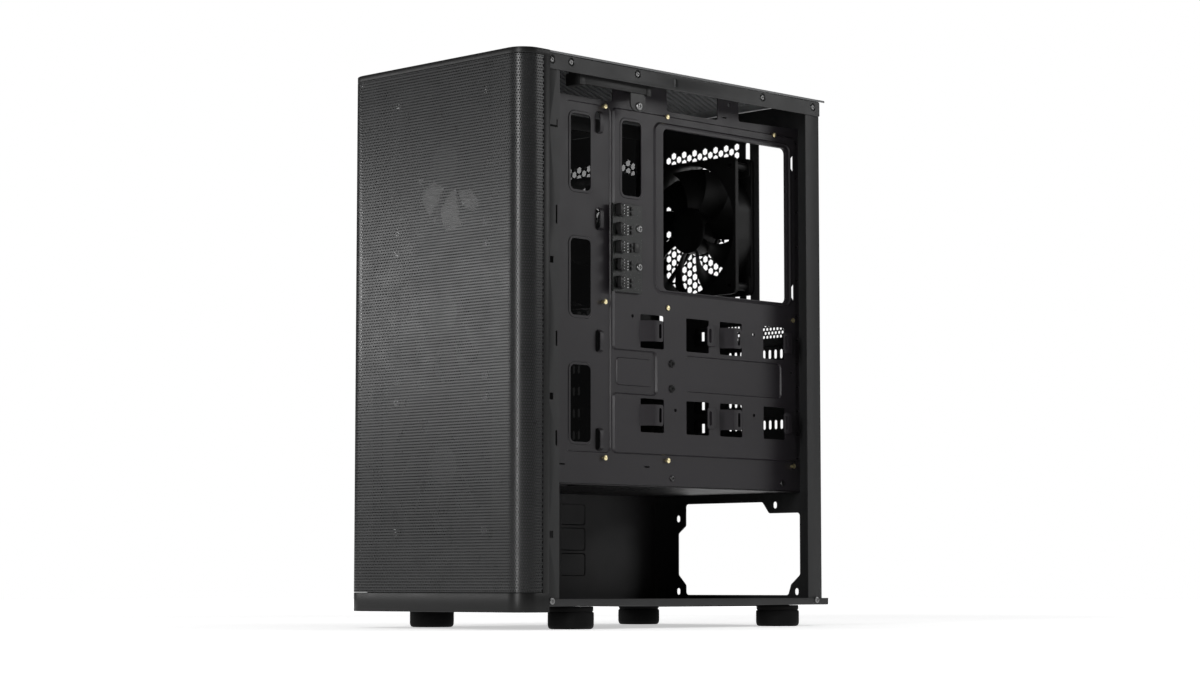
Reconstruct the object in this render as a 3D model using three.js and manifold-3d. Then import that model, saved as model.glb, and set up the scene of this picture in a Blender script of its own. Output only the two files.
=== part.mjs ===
// Mid-tower desktop computer case with its cable-side cover removed.
// Millimetres, +Z up. -Y is the front, +X the open cable side, -X the glass side.
// The origin is on the floor, under the middle of the case.
import * as THREE from 'three';
import { mergeVertices } from 'three/addons/utils/BufferGeometryUtils.js';
import Module from 'manifold-3d';

const wasm = await Module();
wasm.setup();

// ---- driving dimensions ----
const GAP = 0.3; // clearance between neighbouring pieces
const SHEET = 0.8; // steel sheet
const BEZEL_WIDTH = 206;
const BEZEL_DEPTH = 29.3;
const BEZEL_CORNER = 16.3;
const PLASTIC = 2.4; // wall of the bezel moulding
const FRONT = -179.6; // front face of the bezel
const REAR = 173; // inside face of the rear panel
const REAR_LIP = REAR + 6.6; // rear edge of the top and base panels
const OPEN_SIDE = 101.5; // outside plane of the rails on the cable side
const GLASS_SIDE = -97.6; // outside plane of the rails on the glass side
const GLASS = 4;
const TOP = 448.4;
const BASE = 17.8; // underside of the base panel
const BEZEL_TOP = TOP - 0.4;
const BEZEL_BASE = BASE - 4.5;
const PLINTH = 15; // plain strip under the front mesh
const TOP_BAND = 5; // plain strip above it
const TOP_RAIL = 14.6;
const BASE_RAIL = 6;
const FRONT_FLANGE = 13;
const REAR_FLANGE = 17.5;
const TRAY = 77; // cable-side face of the motherboard tray
const TRAY_FRONT = -117;
const TRAY_TOP = TOP - 26.9;
const SHROUD_TOP = 113.8;

// ATX board pattern, from the board's rear edge and its lowest screw row
const BOARD_REAR = REAR - 0.96;
const BOARD_ROWS = [134.8, 259.26, 416.74];
const BOARD_COLUMNS = [10.16, 165.1, 237.49];
const BOARD_TOP_REAR = 33.02;
const STANDOFF_HEIGHT = 6.35;
const STANDOFF_RADIUS = 3;
const STUD_RADIUS = 1.6;

// ATX power supply screw pattern, from its lower screw by the glass side
const PSU_X = -65.5;
const PSU_Z = 28.7;
const PSU_SCREWS = [[0, 0], [138, 0], [0, 64], [114, 74]];
const PSU_SCREW_SLOT = 2.1;

const SLOT_PITCH = 20.32;
const SLOT_COUNT = 7;
const SLOT_FIRST = 253.3; // centre of the highest expansion slot
const SLOT_NEAR = 70; // end of the slot by the tray
const SLOT_FAR = -46;
const SLOT_OPENING = 14.3;

const IO_RIGHT = 76; // edge of the connector opening by the tray
const IO_BOTTOM = 261.8;
const IO_SIZE = [44.45, 158.75];

const FAN = 120;
const FAN_DEPTH = 25;
const FAN_BORE = FAN / 2 - 2.6;
const FAN_DUCT = FAN / 2 + 1.7; // outside radius of the duct, cut flat by the frame's sides
const FAN_PLATE = 4; // square flange at each end of the duct
const FAN_SCREWS = FAN / 2 - 7.5; // half of the fan's screw spacing
const ROTOR_RADIUS = FAN_BORE - 1.4;
const ROTOR_DEPTH = 19;
const HUB_RADIUS = 20;
const BLADES = 9;
const FRONT_FAN_X = -22;
const FRONT_FAN_Z = 129;
const FRONT_FAN_PITCH = FAN + 2;
const REAR_FAN = [-33.6, 345.5];
const WINDOW_MARGIN = 10; // bezel window beyond the front fans

const FOOT_RADIUS = 18;
const FEET_X = [-80, 82];
const FEET_Y = [-106.8, 136.5];

const FILTER = 1;

const ARC = 1; // half the number of segments in a rounded corner or a quarter of a circle

// ---- solids ----
function solid(geometry) {
  const bare = geometry.index ? geometry.toNonIndexed() : geometry.clone();
  bare.deleteAttribute('normal');
  bare.deleteAttribute('uv');
  const merged = mergeVertices(bare, 1e-4);
  return new wasm.Manifold(new wasm.Mesh({
    numProp: 3,
    vertProperties: new Float32Array(merged.attributes.position.array),
    triVerts: new Uint32Array(merged.index.array),
  }));
}

function geometryOf(body) {
  const mesh = body.getMesh();
  const geometry = new THREE.BufferGeometry();
  geometry.setAttribute('position', new THREE.BufferAttribute(mesh.vertProperties, 3));
  geometry.setIndex(new THREE.BufferAttribute(mesh.triVerts, 1));
  geometry.computeVertexNormals();
  return geometry;
}

function block([x0, x1], [y0, y1], [z0, z1]) {
  const box = new THREE.BoxGeometry(x1 - x0, y1 - y0, z1 - z0);
  return solid(box.translate((x0 + x1) / 2, (y0 + y1) / 2, (z0 + z1) / 2));
}

function join(...bodies) {
  return bodies.reduce((all, body) => all.add(body));
}

function cut(body, ...tools) {
  return tools.reduce((left, tool) => left.subtract(tool), body);
}

// A flat outline extruded along an axis, from `from` to `to`. Its two coordinates are
// (Y, Z) across X, (X, Z) across Y and (X, Y) across Z.
const TURN = {
  x: new THREE.Matrix4().makeBasis(
    new THREE.Vector3(0, 1, 0), new THREE.Vector3(0, 0, 1), new THREE.Vector3(1, 0, 0)),
  y: new THREE.Matrix4().makeBasis(
    new THREE.Vector3(1, 0, 0), new THREE.Vector3(0, 0, 1), new THREE.Vector3(0, -1, 0)),
  z: new THREE.Matrix4(),
};

function prism(axis, from, to, shape, segments) {
  const geometry = new THREE.ExtrudeGeometry(shape, {
    depth: to - from, bevelEnabled: false, curveSegments: segments,
  });
  geometry.translate(0, 0, axis === 'y' ? -to : from);
  return solid(geometry.applyMatrix4(TURN[axis]));
}

function sheet(axis, from, to, outline, holes = [], segments = ARC) {
  const shape = outline instanceof THREE.Shape ? outline : polygon(outline);
  const tools = holes.map((hole) => prism(axis, from - 1, to + 1, hole, segments));
  return cut(prism(axis, from, to, shape, segments), ...tools);
}

function polygon(points) {
  return new THREE.Shape(points.map(([u, v]) => new THREE.Vector2(u, v)));
}

function rectangle([u0, u1], [v0, v1]) {
  return polygon([[u0, v0], [u1, v0], [u1, v1], [u0, v1]]);
}

function rounded([u0, u1], [v0, v1], radius) {
  const path = new THREE.Shape();
  path.absarc(u1 - radius, v0 + radius, radius, -Math.PI / 2, 0);
  path.absarc(u1 - radius, v1 - radius, radius, 0, Math.PI / 2);
  path.absarc(u0 + radius, v1 - radius, radius, Math.PI / 2, Math.PI);
  path.absarc(u0 + radius, v0 + radius, radius, Math.PI, Math.PI * 1.5);
  path.closePath();
  return path;
}

function circle(u, v, radius) {
  return rounded(around(u, radius), around(v, radius), radius);
}

function around(centre, half) {
  return [centre - half, centre + half];
}

// ---- the assembly ----
const tower = new THREE.Group();
tower.name = 'computer_tower';

const FINISH = {
  steel: { color: 0x1d1d1e, roughness: 0.55, metalness: 0.3 },
  plastic: { color: 0x17171a, roughness: 0.5, metalness: 0 },
  fan: { color: 0x0e0e10, roughness: 0.45, metalness: 0 },
  mesh: { color: 0x202022, roughness: 0.5, metalness: 0.3 },
  rubber: { color: 0x0b0b0b, roughness: 0.9, metalness: 0 },
  board: { color: 0x101413, roughness: 0.4, metalness: 0 },
  brass: { color: 0xb89a5a, roughness: 0.35, metalness: 1 },
  bright: { color: 0x9a9a9c, roughness: 0.35, metalness: 1 },
  glass: { color: 0x2a2c30, roughness: 0.05, metalness: 0 },
};

function add(name, body, finish) {
  const geometry = body instanceof THREE.BufferGeometry ? body : geometryOf(body);
  const mesh = new THREE.Mesh(geometry, new THREE.MeshStandardMaterial(FINISH[finish]));
  mesh.name = name;
  tower.add(mesh);
}

// ---- planes that several sheets share ----
const frontPlate = [FRONT + BEZEL_DEPTH + GAP, FRONT + BEZEL_DEPTH + GAP + SHEET];
const rearPlate = [REAR, REAR + SHEET];
const insideZ = [BASE + SHEET + GAP, TOP - SHEET - GAP];
const flangeRight = around(OPEN_SIDE - SHEET - GAP - SHEET / 2, SHEET / 2);
const flangeLeft = around(GLASS_SIDE + SHEET + GAP + SHEET / 2, SHEET / 2);
const plateX = [flangeLeft[0], flangeRight[1]];
const panelY = [frontPlate[0], REAR_LIP];
const railY = [frontPlate[0], REAR - GAP];

// ---- front input and output module, set into the top panel ----
const MODULE_X = [TRAY + 2.6, TRAY + 19.4];
const MODULE_Y = [-110, -25];
const MODULE_DEPTH = 12;
const MODULE_MIDDLE = (MODULE_X[0] + MODULE_X[1]) / 2;
const POWER_BUTTON = { y: -99, radius: 5.6, travel: 1.6 };
const RESET_BUTTON = { y: -32, radius: 2.2, travel: 1.2 };
const USB_A = { y: [-82, -64], size: [5.6, 13.1], corner: 0.6, depth: 9 };
const USB_C = { y: -50, size: [3.4, 9.2], corner: 1.6, depth: 9 };
const JACK = { y: -40.5, radius: 3.2, bore: 1.75, depth: 9 };
const moduleTop = TOP;
const moduleFloor = TOP - MODULE_DEPTH;

function moduleHousing() {
  const pockets = [
    circle(MODULE_MIDDLE, POWER_BUTTON.y, POWER_BUTTON.radius + GAP),
    circle(MODULE_MIDDLE, RESET_BUTTON.y, RESET_BUTTON.radius + GAP),
    circle(MODULE_MIDDLE, JACK.y, JACK.radius + GAP),
    ...USB_A.y.map((y) => socketOutline(USB_A, y, GAP)),
    socketOutline(USB_C, USB_C.y, GAP),
  ];
  const body = sheet('z', moduleFloor + PLASTIC, moduleTop,
    rounded([MODULE_X[0] + GAP, MODULE_X[1] - GAP], [MODULE_Y[0] + GAP, MODULE_Y[1] - GAP], 3),
    pockets, 2);
  const floor = block([MODULE_X[0] - 2, MODULE_X[1] + 1.5], [MODULE_Y[0] + 2, MODULE_Y[1] - 2],
    [moduleFloor, moduleFloor + PLASTIC + 0.01]);
  const foot = block([MODULE_X[1] - 4, MODULE_X[1] - 2.4], [-52, -34],
    [moduleFloor - 20, moduleFloor + 0.01]);
  const front = block([MODULE_X[0], MODULE_X[1]], [MODULE_Y[0] - 1, MODULE_Y[0] + 4],
    [moduleFloor - 4, moduleFloor + 0.01]);
  return join(body, floor, foot, front);
}

function socketOutline(port, y, grow) {
  return rounded(around(MODULE_MIDDLE, port.size[0] / 2 + grow),
    around(y, port.size[1] / 2 + grow), port.corner + grow);
}

// A metal socket: a shell open at the top with a tongue inside.
function socket(port, y) {
  const [width, length] = port.size;
  const wall = 0.5;
  const low = moduleTop - port.depth;
  const shell = sheet('z', low, moduleTop - 0.2, socketOutline(port, y, 0));
  const hollow = block(around(MODULE_MIDDLE, width / 2 - wall), around(y, length / 2 - wall),
    [low + 1, moduleTop + 1]);
  const tongue = block(around(MODULE_MIDDLE, width / 8), around(y, length / 2 - 2 * wall),
    [low + 0.9, moduleTop - 1.2]);
  return join(cut(shell, hollow), tongue);
}

function turned(profile, segments) {
  const points = profile.map(([radius, z]) => new THREE.Vector2(radius, z));
  return new THREE.LatheGeometry(points, segments).rotateX(Math.PI / 2);
}

function button(spec) {
  const low = moduleTop - 4;
  const geometry = turned([[0, low], [spec.radius, low], [spec.radius, moduleTop - 0.3],
    [spec.radius - 0.4, moduleTop + 0.1], [0, moduleTop + 0.1]], 24);
  return solid(geometry.translate(MODULE_MIDDLE, spec.y, 0));
}

// ---- top panel with its rails ----
function topPanel() {
  const opening = rounded(MODULE_X, MODULE_Y, 3);
  const plate = sheet('z', TOP - SHEET, TOP, rectangle([GLASS_SIDE, OPEN_SIDE], panelY), [opening]);
  const rail = [TOP - TOP_RAIL, TOP];
  return join(plate,
    block([OPEN_SIDE - SHEET, OPEN_SIDE], railY, rail),
    block([GLASS_SIDE, GLASS_SIDE + SHEET], railY, rail));
}

// ---- base panel with its rails ----
function basePanel() {
  const plate = block([GLASS_SIDE, OPEN_SIDE], panelY, [BASE, BASE + SHEET]);
  const rail = [BASE, BASE + BASE_RAIL];
  return join(plate,
    block([OPEN_SIDE - SHEET, OPEN_SIDE], railY, rail),
    block([GLASS_SIDE, GLASS_SIDE + SHEET], railY, rail));
}

// ---- rear panel ----
const slotCentres = Array.from({ length: SLOT_COUNT }, (_, i) => SLOT_FIRST - i * SLOT_PITCH);

// The power supply's opening: a rectangle with stepped corners that leave room for its screws.
function psuOpening() {
  const at = (x, z) => [PSU_X + x, PSU_Z + z];
  return polygon([at(9, -3), at(128.5, -3), at(131.7, 6), at(141.9, 14.3), at(141.9, 67),
    at(107.1, 67), at(99.6, 76.7), at(9, 76.7), at(9, 57.6), at(0, 50.9), at(0, 14.5), at(9, 5.5)]);
}

function screwSlot(u, v, radius, length) {
  return rounded(around(u, radius), around(v, length / 2), radius);
}

function rearPanel() {
  const holes = [
    psuOpening(),
    rectangle([IO_RIGHT - IO_SIZE[0], IO_RIGHT], [IO_BOTTOM, IO_BOTTOM + IO_SIZE[1]]),
    ...slotCentres.map((z) => rectangle([SLOT_FAR, SLOT_NEAR], around(z, SLOT_OPENING / 2))),
    ...PSU_SCREWS.map(([x, z]) => screwSlot(PSU_X + x, PSU_Z + z, PSU_SCREW_SLOT, 6)),
  ];
  const plate = sheet('y', ...rearPlate, rectangle(plateX, insideZ), holes);
  const flangeY = [REAR - REAR_FLANGE, REAR + 0.01];
  return join(plate, block(flangeRight, flangeY, insideZ), block(flangeLeft, flangeY, insideZ));
}

// ---- expansion slot covers and the rail their screws go into ----
const coverY = [rearPlate[1] + GAP, rearPlate[1] + GAP + SHEET];
const TAB_END = SLOT_FAR - 4;

function slotCover(z) {
  const height = around(z, 9.2);
  const blade = block([TAB_END, SLOT_NEAR + 6], coverY, height);
  const tab = block([TAB_END, TAB_END + SHEET], [coverY[0], REAR_LIP - 0.2], height);
  return join(blade, tab);
}

function slotRail() {
  const height = [slotCentres.at(-1) - 11, slotCentres[0] + 11];
  const flat = block([TAB_END - 10, TAB_END - GAP], coverY, height);
  const stand = block([TAB_END - GAP - SHEET, TAB_END - GAP], [coverY[0], REAR_LIP - 0.2], height);
  return join(flat, stand);
}

// ---- front frame: the steel sheet that the intake fans are screwed to ----
const fanCentres = [0, 1, 2].map((i) => FRONT_FAN_Z + i * FRONT_FAN_PITCH);

function frontFrame() {
  const holes = fanCentres.map((z) => circle(FRONT_FAN_X, z, FAN_BORE));
  const plate = sheet('y', ...frontPlate, rectangle(plateX, insideZ), holes, 5);
  const flangeY = [frontPlate[0], frontPlate[0] + FRONT_FLANGE];
  const catches = [73, 179, 285].map((z) => block(around(flangeRight[0], 3),
    around(frontPlate[0] + 3.8, 2), around(z, 2.8)));
  return cut(join(plate, block(flangeRight, flangeY, insideZ), block(flangeLeft, flangeY, insideZ)),
    ...catches);
}

// ---- fans ----
function fanFrame() {
  const half = FAN / 2;
  const corners = [-1, 1].flatMap((i) => [-1, 1].map((j) => [i * FAN_SCREWS, j * FAN_SCREWS]));
  const flange = (from, to) => sheet('y', from, to, rounded([-half, half], [-half, half], 5),
    corners.map(([u, v]) => circle(u, v, 2.2)));
  const square = block([-half, half], [0, FAN_DEPTH], [-half, half]);
  const duct = prism('y', FAN_PLATE - 1, FAN_DEPTH - FAN_PLATE + 1, circle(0, 0, FAN_DUCT), 6);
  const bore = prism('y', -1, FAN_DEPTH + 1, circle(0, 0, FAN_BORE), 6);
  const body = join(flange(0, FAN_PLATE), flange(FAN_DEPTH - FAN_PLATE, FAN_DEPTH),
    duct.intersect(square));
  const spokeY = [FAN_DEPTH - 3, FAN_DEPTH - 0.2];
  const spokes = [45, 135, 225, 315].map((angle) =>
    block([HUB_RADIUS - 1, FAN_BORE + 0.5], spokeY, [-2, 2]).rotate([0, angle, 0]));
  const motor = sheet('y', FAN_DEPTH - 4, FAN_DEPTH - 0.2, circle(0, 0, HUB_RADIUS), [], 3);
  return join(cut(body, bore), motor, ...spokes);
}

// Blades are pitched slabs, trimmed to the fan's round by a drum.
function fanRotor() {
  const hub = sheet('y', 2, 1.5 + ROTOR_DEPTH, circle(0, 0, HUB_RADIUS), [], 3);
  const drum = sheet('y', 2.6, 1 + ROTOR_DEPTH, circle(0, 0, ROTOR_RADIUS), [], 5);
  const blade = block([HUB_RADIUS - 3, ROTOR_RADIUS + 3], [-0.8, 0.8], [-14.5, 14.5])
    .rotate([38, 0, 0]).translate([0, 2 + ROTOR_DEPTH / 2, 0]);
  const blades = Array.from({ length: BLADES }, (_, i) => blade.rotate([0, (360 / BLADES) * i, 0]));
  return join(hub, join(...blades).intersect(drum));
}

function addFan(name, x, y, z) {
  add(`${name}_frame`, fanFrame().translate([x, y, z]), 'fan');
  add(`${name}_rotor`, fanRotor().translate([x, y, z]), 'fan');
}

// ---- motherboard tray ----
const CABLE_SLOTS = [
  [-101.9, 346.8], [-46.7, 346.8], [-101.9, 246.8], [-101.9, 146.6],
]; // lower front corner of each cable opening
const CABLE_SLOT = [22.4, 61];
const COOLER_OPENING = [[1.6, 154.6], [273.4, 406.6]];
const DRIVE_HOLE = 27.4;
const DRIVE_ROWS = [224.8, 156.8];
const DRIVE_HOOKS = [-25, 69.8]; // front edges of the ramped hooks' openings
const DRIVE_EARS = [29, 124]; // front edges of the upright hooks' openings
const HOOK_RISE = 10.5;
const HOOK_RAMP = 8.5;
const HOOK_FLAT = 9.8;
const HOOK_HEIGHT = 17;
const TIE_LOOPS = [403.3, 325.4, 227.6, 149.4];
const TIE_Y = -69.5;
const standoffs = [
  ...BOARD_COLUMNS.flatMap((back, i) => BOARD_ROWS.map((z, j) =>
    [BOARD_REAR - (i === 0 && j === 2 ? BOARD_TOP_REAR : back), z])),
];

// A tongue cut from the tray, raised to carry a drive screw.
function driveHook(z, front, ramped) {
  const high = TRAY + HOOK_RISE;
  const height = around(z + DRIVE_HOLE / 2, HOOK_HEIGHT / 2);
  const rear = front + DRIVE_HOLE;
  const foot = ramped ? front - 0.6 : rear + 0.6;
  const knee = ramped ? front + HOOK_RAMP : rear;
  const tip = ramped ? knee + HOOK_FLAT : knee - HOOK_FLAT;
  const side = Math.sign(tip - knee);
  const section = [[foot, TRAY - SHEET], [foot + 1.4 * side, TRAY - SHEET],
    [knee + 0.7 * side, high - SHEET], [tip, high - SHEET], [tip, high], [knee, high],
    [foot, TRAY]];
  const outline = new THREE.Shape((side < 0 ? section.reverse() : section)
    .map(([y, x]) => new THREE.Vector2(x, y)));
  return sheet('z', ...height, outline);
}

function motherboardTray() {
  const edge = [
    [TRAY_FRONT, SHROUD_TOP + GAP], [REAR - GAP, SHROUD_TOP + GAP], [REAR - GAP, TRAY_TOP + 4],
    [96, TRAY_TOP + 2], [96, insideZ[1]], [70, insideZ[1]], [70, TRAY_TOP],
    [8, TRAY_TOP], [8, insideZ[1]], [-55, insideZ[1]], [-55, TRAY_TOP], [TRAY_FRONT, TRAY_TOP],
  ];
  const rightAngle = [...DRIVE_HOOKS.map((y) => [y, true]), ...DRIVE_EARS.map((y) => [y, false])];
  const holes = [
    ...CABLE_SLOTS.map(([y, z]) => rounded([y, y + CABLE_SLOT[0]], [z, z + CABLE_SLOT[1]], 4)),
    rounded(...COOLER_OPENING, 4),
    ...DRIVE_ROWS.flatMap((z) => rightAngle.map(([y]) =>
      rectangle([y, y + DRIVE_HOLE], [z, z + DRIVE_HOLE]))),
    ...TIE_LOOPS.map((z) => rectangle(around(TIE_Y, 4), around(z, 8.5))),
    ...standoffs.map(([y, z]) => circle(y, z, STUD_RADIUS + GAP)),
  ];
  const plate = sheet('x', TRAY - SHEET, TRAY, edge, holes);
  const hooks = DRIVE_ROWS.flatMap((z) => rightAngle.map(([y, ramped]) =>
    driveHook(z, y, ramped)));
  const loops = TIE_LOOPS.map((z) => join(
    block([TRAY + 2.4, TRAY + 3.2], around(TIE_Y, 2), around(z, 9.4)),
    block([TRAY - SHEET, TRAY + 3.2], around(TIE_Y, 2), [z + 8.6, z + 9.4]),
    block([TRAY - SHEET, TRAY + 3.2], around(TIE_Y, 2), [z - 9.4, z - 8.6])));
  return join(plate, ...hooks, ...loops);
}

function standoff([y, z]) {
  const seat = TRAY - SHEET - GAP;
  const end = TRAY + 3;
  const profile = [[0, seat - STANDOFF_HEIGHT], [STANDOFF_RADIUS, seat - STANDOFF_HEIGHT],
    [STANDOFF_RADIUS, seat], [STUD_RADIUS, seat], [STUD_RADIUS, end], [0, end]];
  const geometry = turned(profile, 12).rotateY(Math.PI / 2);
  return solid(geometry.translate(0, y, z));
}

// ---- power supply shroud: a shelf with a wall on the glass side ----
function shroud() {
  const wallX = around(flangeLeft[1] + GAP + SHEET / 2, SHEET / 2);
  const shelf = block([wallX[0], TRAY], [TRAY_FRONT, REAR - GAP], [SHROUD_TOP - SHEET, SHROUD_TOP]);
  const wall = block(wallX, [TRAY_FRONT, REAR - GAP], [insideZ[0], SHROUD_TOP]);
  return join(shelf, wall);
}

// ---- glass side panel ----
const glassX = [GLASS_SIDE - GAP - SHEET - GAP - GLASS, GLASS_SIDE - GAP - SHEET - GAP];
const strapX = [GLASS_SIDE - GAP - SHEET, GLASS_SIDE - GAP];
const EAR_HEIGHTS = [60, 405];
const EAR_SCREW_X = -89;
const THUMB_RADIUS = 5.5;

function glassStrap() {
  const strap = block(strapX, [REAR - 20, coverY[1]], [BASE + 1, TOP - 1]);
  const ears = EAR_HEIGHTS.map((z) => sheet('y', ...coverY,
    rounded([strapX[0], EAR_SCREW_X + 7], around(z, 12), 2), [circle(EAR_SCREW_X, z, 2.2)]));
  return join(strap, ...ears);
}

function thumbscrew(z) {
  const head = [coverY[1] + GAP, REAR_LIP - 0.1];
  const geometry = turned([[0, head[0]], [THUMB_RADIUS, head[0]], [THUMB_RADIUS, head[1] - 0.5],
    [THUMB_RADIUS - 0.5, head[1]], [0, head[1]]], 24).rotateX(-Math.PI / 2);
  return solid(geometry.translate(EAR_SCREW_X, 0, z));
}

// ---- front bezel and its wrap-round mesh ----
const bezelHalf = BEZEL_WIDTH / 2;
const bezelBack = FRONT + BEZEL_DEPTH;
const MESH_THICK = 1;
const MESH_REAR = bezelBack - 7;
const meshZ = [BEZEL_BASE + PLINTH, BEZEL_TOP - TOP_BAND];

// The bezel's plan: square at the back, rounded at both front corners.
function bezelPlan(back, inset) {
  const half = bezelHalf - inset;
  const front = FRONT + inset;
  const radius = BEZEL_CORNER - inset;
  const plan = new THREE.Shape();
  plan.moveTo(half, back);
  plan.lineTo(-half, back);
  plan.absarc(-half + radius, front + radius, radius, Math.PI, Math.PI * 1.5);
  plan.absarc(half - radius, front + radius, radius, -Math.PI / 2, 0);
  return plan;
}

function bezelShell() {
  const fanZ = [fanCentres[0] - FAN / 2, fanCentres.at(-1) + FAN / 2];
  const window = block(around(FRONT_FAN_X, FAN / 2 + WINDOW_MARGIN),
    [bezelBack - 20, bezelBack + 1], [fanZ[0], fanZ[1] + WINDOW_MARGIN - 2]);
  const back = block([-bezelHalf + 1, bezelHalf - 1], [bezelBack - PLASTIC, bezelBack],
    [meshZ[0] - 1, meshZ[1] + 1]);
  const sides = [-1, 1].map((side) => block(
    side < 0 ? [-bezelHalf, -bezelHalf + PLASTIC] : [bezelHalf - PLASTIC, bezelHalf],
    [MESH_REAR + GAP, bezelBack], [meshZ[0] - 1, meshZ[1] + 1]));
  const plan = bezelPlan(bezelBack, 0);
  const plinth = sheet('z', BEZEL_BASE, meshZ[0], plan, [], 8);
  const plinthHollow = sheet('z', BEZEL_BASE + PLASTIC, meshZ[0] - PLASTIC,
    bezelPlan(bezelBack + 1, PLASTIC), [], 2);
  const band = sheet('z', meshZ[1], BEZEL_TOP, plan, [], 8);
  return join(cut(back, window), ...sides, cut(plinth, plinthHollow), band);
}

function bezelMesh() {
  const z = [meshZ[0] + GAP, meshZ[1] - GAP];
  const outer = sheet('z', ...z, bezelPlan(MESH_REAR, 0), [], 8);
  const inner = sheet('z', z[0] - 1, z[1] + 1, bezelPlan(MESH_REAR + 1, MESH_THICK), [], 8);
  return cut(outer, inner);
}

// ---- fan hub on the tray ----
const HUB_Y = [-59.5, -25.6];
const HUB_Z = [268, 339.4];
const HUB_X = [TRAY + 3, TRAY + 4.6];
const HEADER_Z = [333.8, 318.5, 304.1, 289.8, 275.5];

// ---- feet ----
function foot(x, y) {
  const geometry = turned([[0, 0], [FOOT_RADIUS - 2, 0], [FOOT_RADIUS - 0.6, 0.6],
    [FOOT_RADIUS, 2], [FOOT_RADIUS, BASE - GAP], [0, BASE - GAP]], 24);
  return solid(geometry.translate(x, y, 0));
}

// ---- put together ----
add('top_panel', topPanel(), 'steel');
add('base_panel', basePanel(), 'steel');
add('rear_panel', rearPanel(), 'steel');
add('front_frame', frontFrame(), 'steel');
add('motherboard_tray', motherboardTray(), 'steel');
add('psu_shroud', shroud(), 'steel');

slotCentres.forEach((z, i) => add(`slot_cover_${i + 1}`, slotCover(z), 'steel'));
add('slot_screw_rail', slotRail(), 'steel');

fanCentres.forEach((z, i) => addFan(`front_fan_${i + 1}`, FRONT_FAN_X, frontPlate[1] + GAP, z));
addFan('rear_fan', REAR_FAN[0], REAR - GAP - FAN_DEPTH, REAR_FAN[1]);

standoffs.forEach((place, i) => add(`standoff_${i + 1}`, standoff(place), 'brass'));

add('fan_hub_board', block(HUB_X, HUB_Y, HUB_Z), 'board');
HEADER_Z.forEach((z, i) => add(`fan_header_${i + 1}`,
  block([HUB_X[1] + GAP, HUB_X[1] + 6], [-56.5, -47], around(z, 5.1)), 'plastic'));

add('io_housing', moduleHousing(), 'plastic');
add('power_button', button(POWER_BUTTON), 'plastic');
add('reset_button', button(RESET_BUTTON), 'plastic');
USB_A.y.forEach((y, i) => add(`usb_a_port_${i + 1}`, socket(USB_A, y), 'bright'));
add('usb_c_port', socket(USB_C, USB_C.y), 'bright');
add('audio_jack', cut(
  sheet('z', moduleTop - JACK.depth, moduleTop - 0.2,
    circle(MODULE_MIDDLE, JACK.y, JACK.radius), [], 2),
  sheet('z', moduleTop - JACK.depth + 1, moduleTop + 1,
    circle(MODULE_MIDDLE, JACK.y, JACK.bore), [], 2)), 'bright');

add('bezel_shell', bezelShell(), 'plastic');
add('bezel_mesh', bezelMesh(), 'mesh');

add('glass_panel', block(glassX, [panelY[0], REAR_LIP - 0.3], [BASE + 1, TOP - 1]), 'glass');
add('glass_strap', glassStrap(), 'steel');
EAR_HEIGHTS.forEach((z, i) => add(`glass_thumbscrew_${i + 1}`, thumbscrew(z), 'bright'));

add('psu_filter', block([FEET_X[0] + FOOT_RADIUS + 2, FEET_X[1] - FOOT_RADIUS - 2], [10, 176],
  [BASE - GAP - FILTER, BASE - GAP]), 'mesh');
add('top_filter', block([-74, 70], [-130, 150], [TOP + GAP, TOP + GAP + FILTER]), 'mesh');

FEET_Y.forEach((y, i) => FEET_X.forEach((x, j) =>
  add(`foot_${['front', 'rear'][i]}_${['left', 'right'][j]}`, foot(x, y), 'rubber')));

export default tower;
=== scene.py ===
import math

import bmesh
import bpy
from mathutils import Matrix, Vector


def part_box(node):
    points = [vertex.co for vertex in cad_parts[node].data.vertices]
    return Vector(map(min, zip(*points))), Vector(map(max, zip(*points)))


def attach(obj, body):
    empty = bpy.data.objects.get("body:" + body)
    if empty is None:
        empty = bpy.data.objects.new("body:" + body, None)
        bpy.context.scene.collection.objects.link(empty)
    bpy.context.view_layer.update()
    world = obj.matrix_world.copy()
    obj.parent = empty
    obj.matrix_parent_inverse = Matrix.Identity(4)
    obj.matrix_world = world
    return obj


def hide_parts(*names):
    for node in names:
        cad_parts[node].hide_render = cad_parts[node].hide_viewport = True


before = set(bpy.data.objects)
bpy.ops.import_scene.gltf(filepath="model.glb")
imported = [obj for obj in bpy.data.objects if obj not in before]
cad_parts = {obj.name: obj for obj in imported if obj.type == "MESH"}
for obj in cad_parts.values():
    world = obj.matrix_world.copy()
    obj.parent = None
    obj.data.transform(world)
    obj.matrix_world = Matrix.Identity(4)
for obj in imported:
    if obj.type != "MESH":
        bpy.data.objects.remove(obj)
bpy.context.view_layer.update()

# Lengths are in millimetres until a piece is finished. -Y is the front, +X the open cable side.
MM = 0.001
SHEET = 0.8
CORNER_STEPS = 4
TURN_STEPS = 32
STEEP = 0.65
FLANGE_START = 1.2
AXES = {"x": Vector((1, 0, 0)), "y": Vector((0, 1, 0)), "z": Vector((0, 0, 1))}


def box(node):
    low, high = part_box(node)
    return low / MM, high / MM


def centre_of(node):
    low, high = box(node)
    return (low + high) / 2


# ---- outlines ----
def direction(a, b):
    length = math.dist(a, b)
    return (b[0] - a[0]) / length, (b[1] - a[1]) / length


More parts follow.
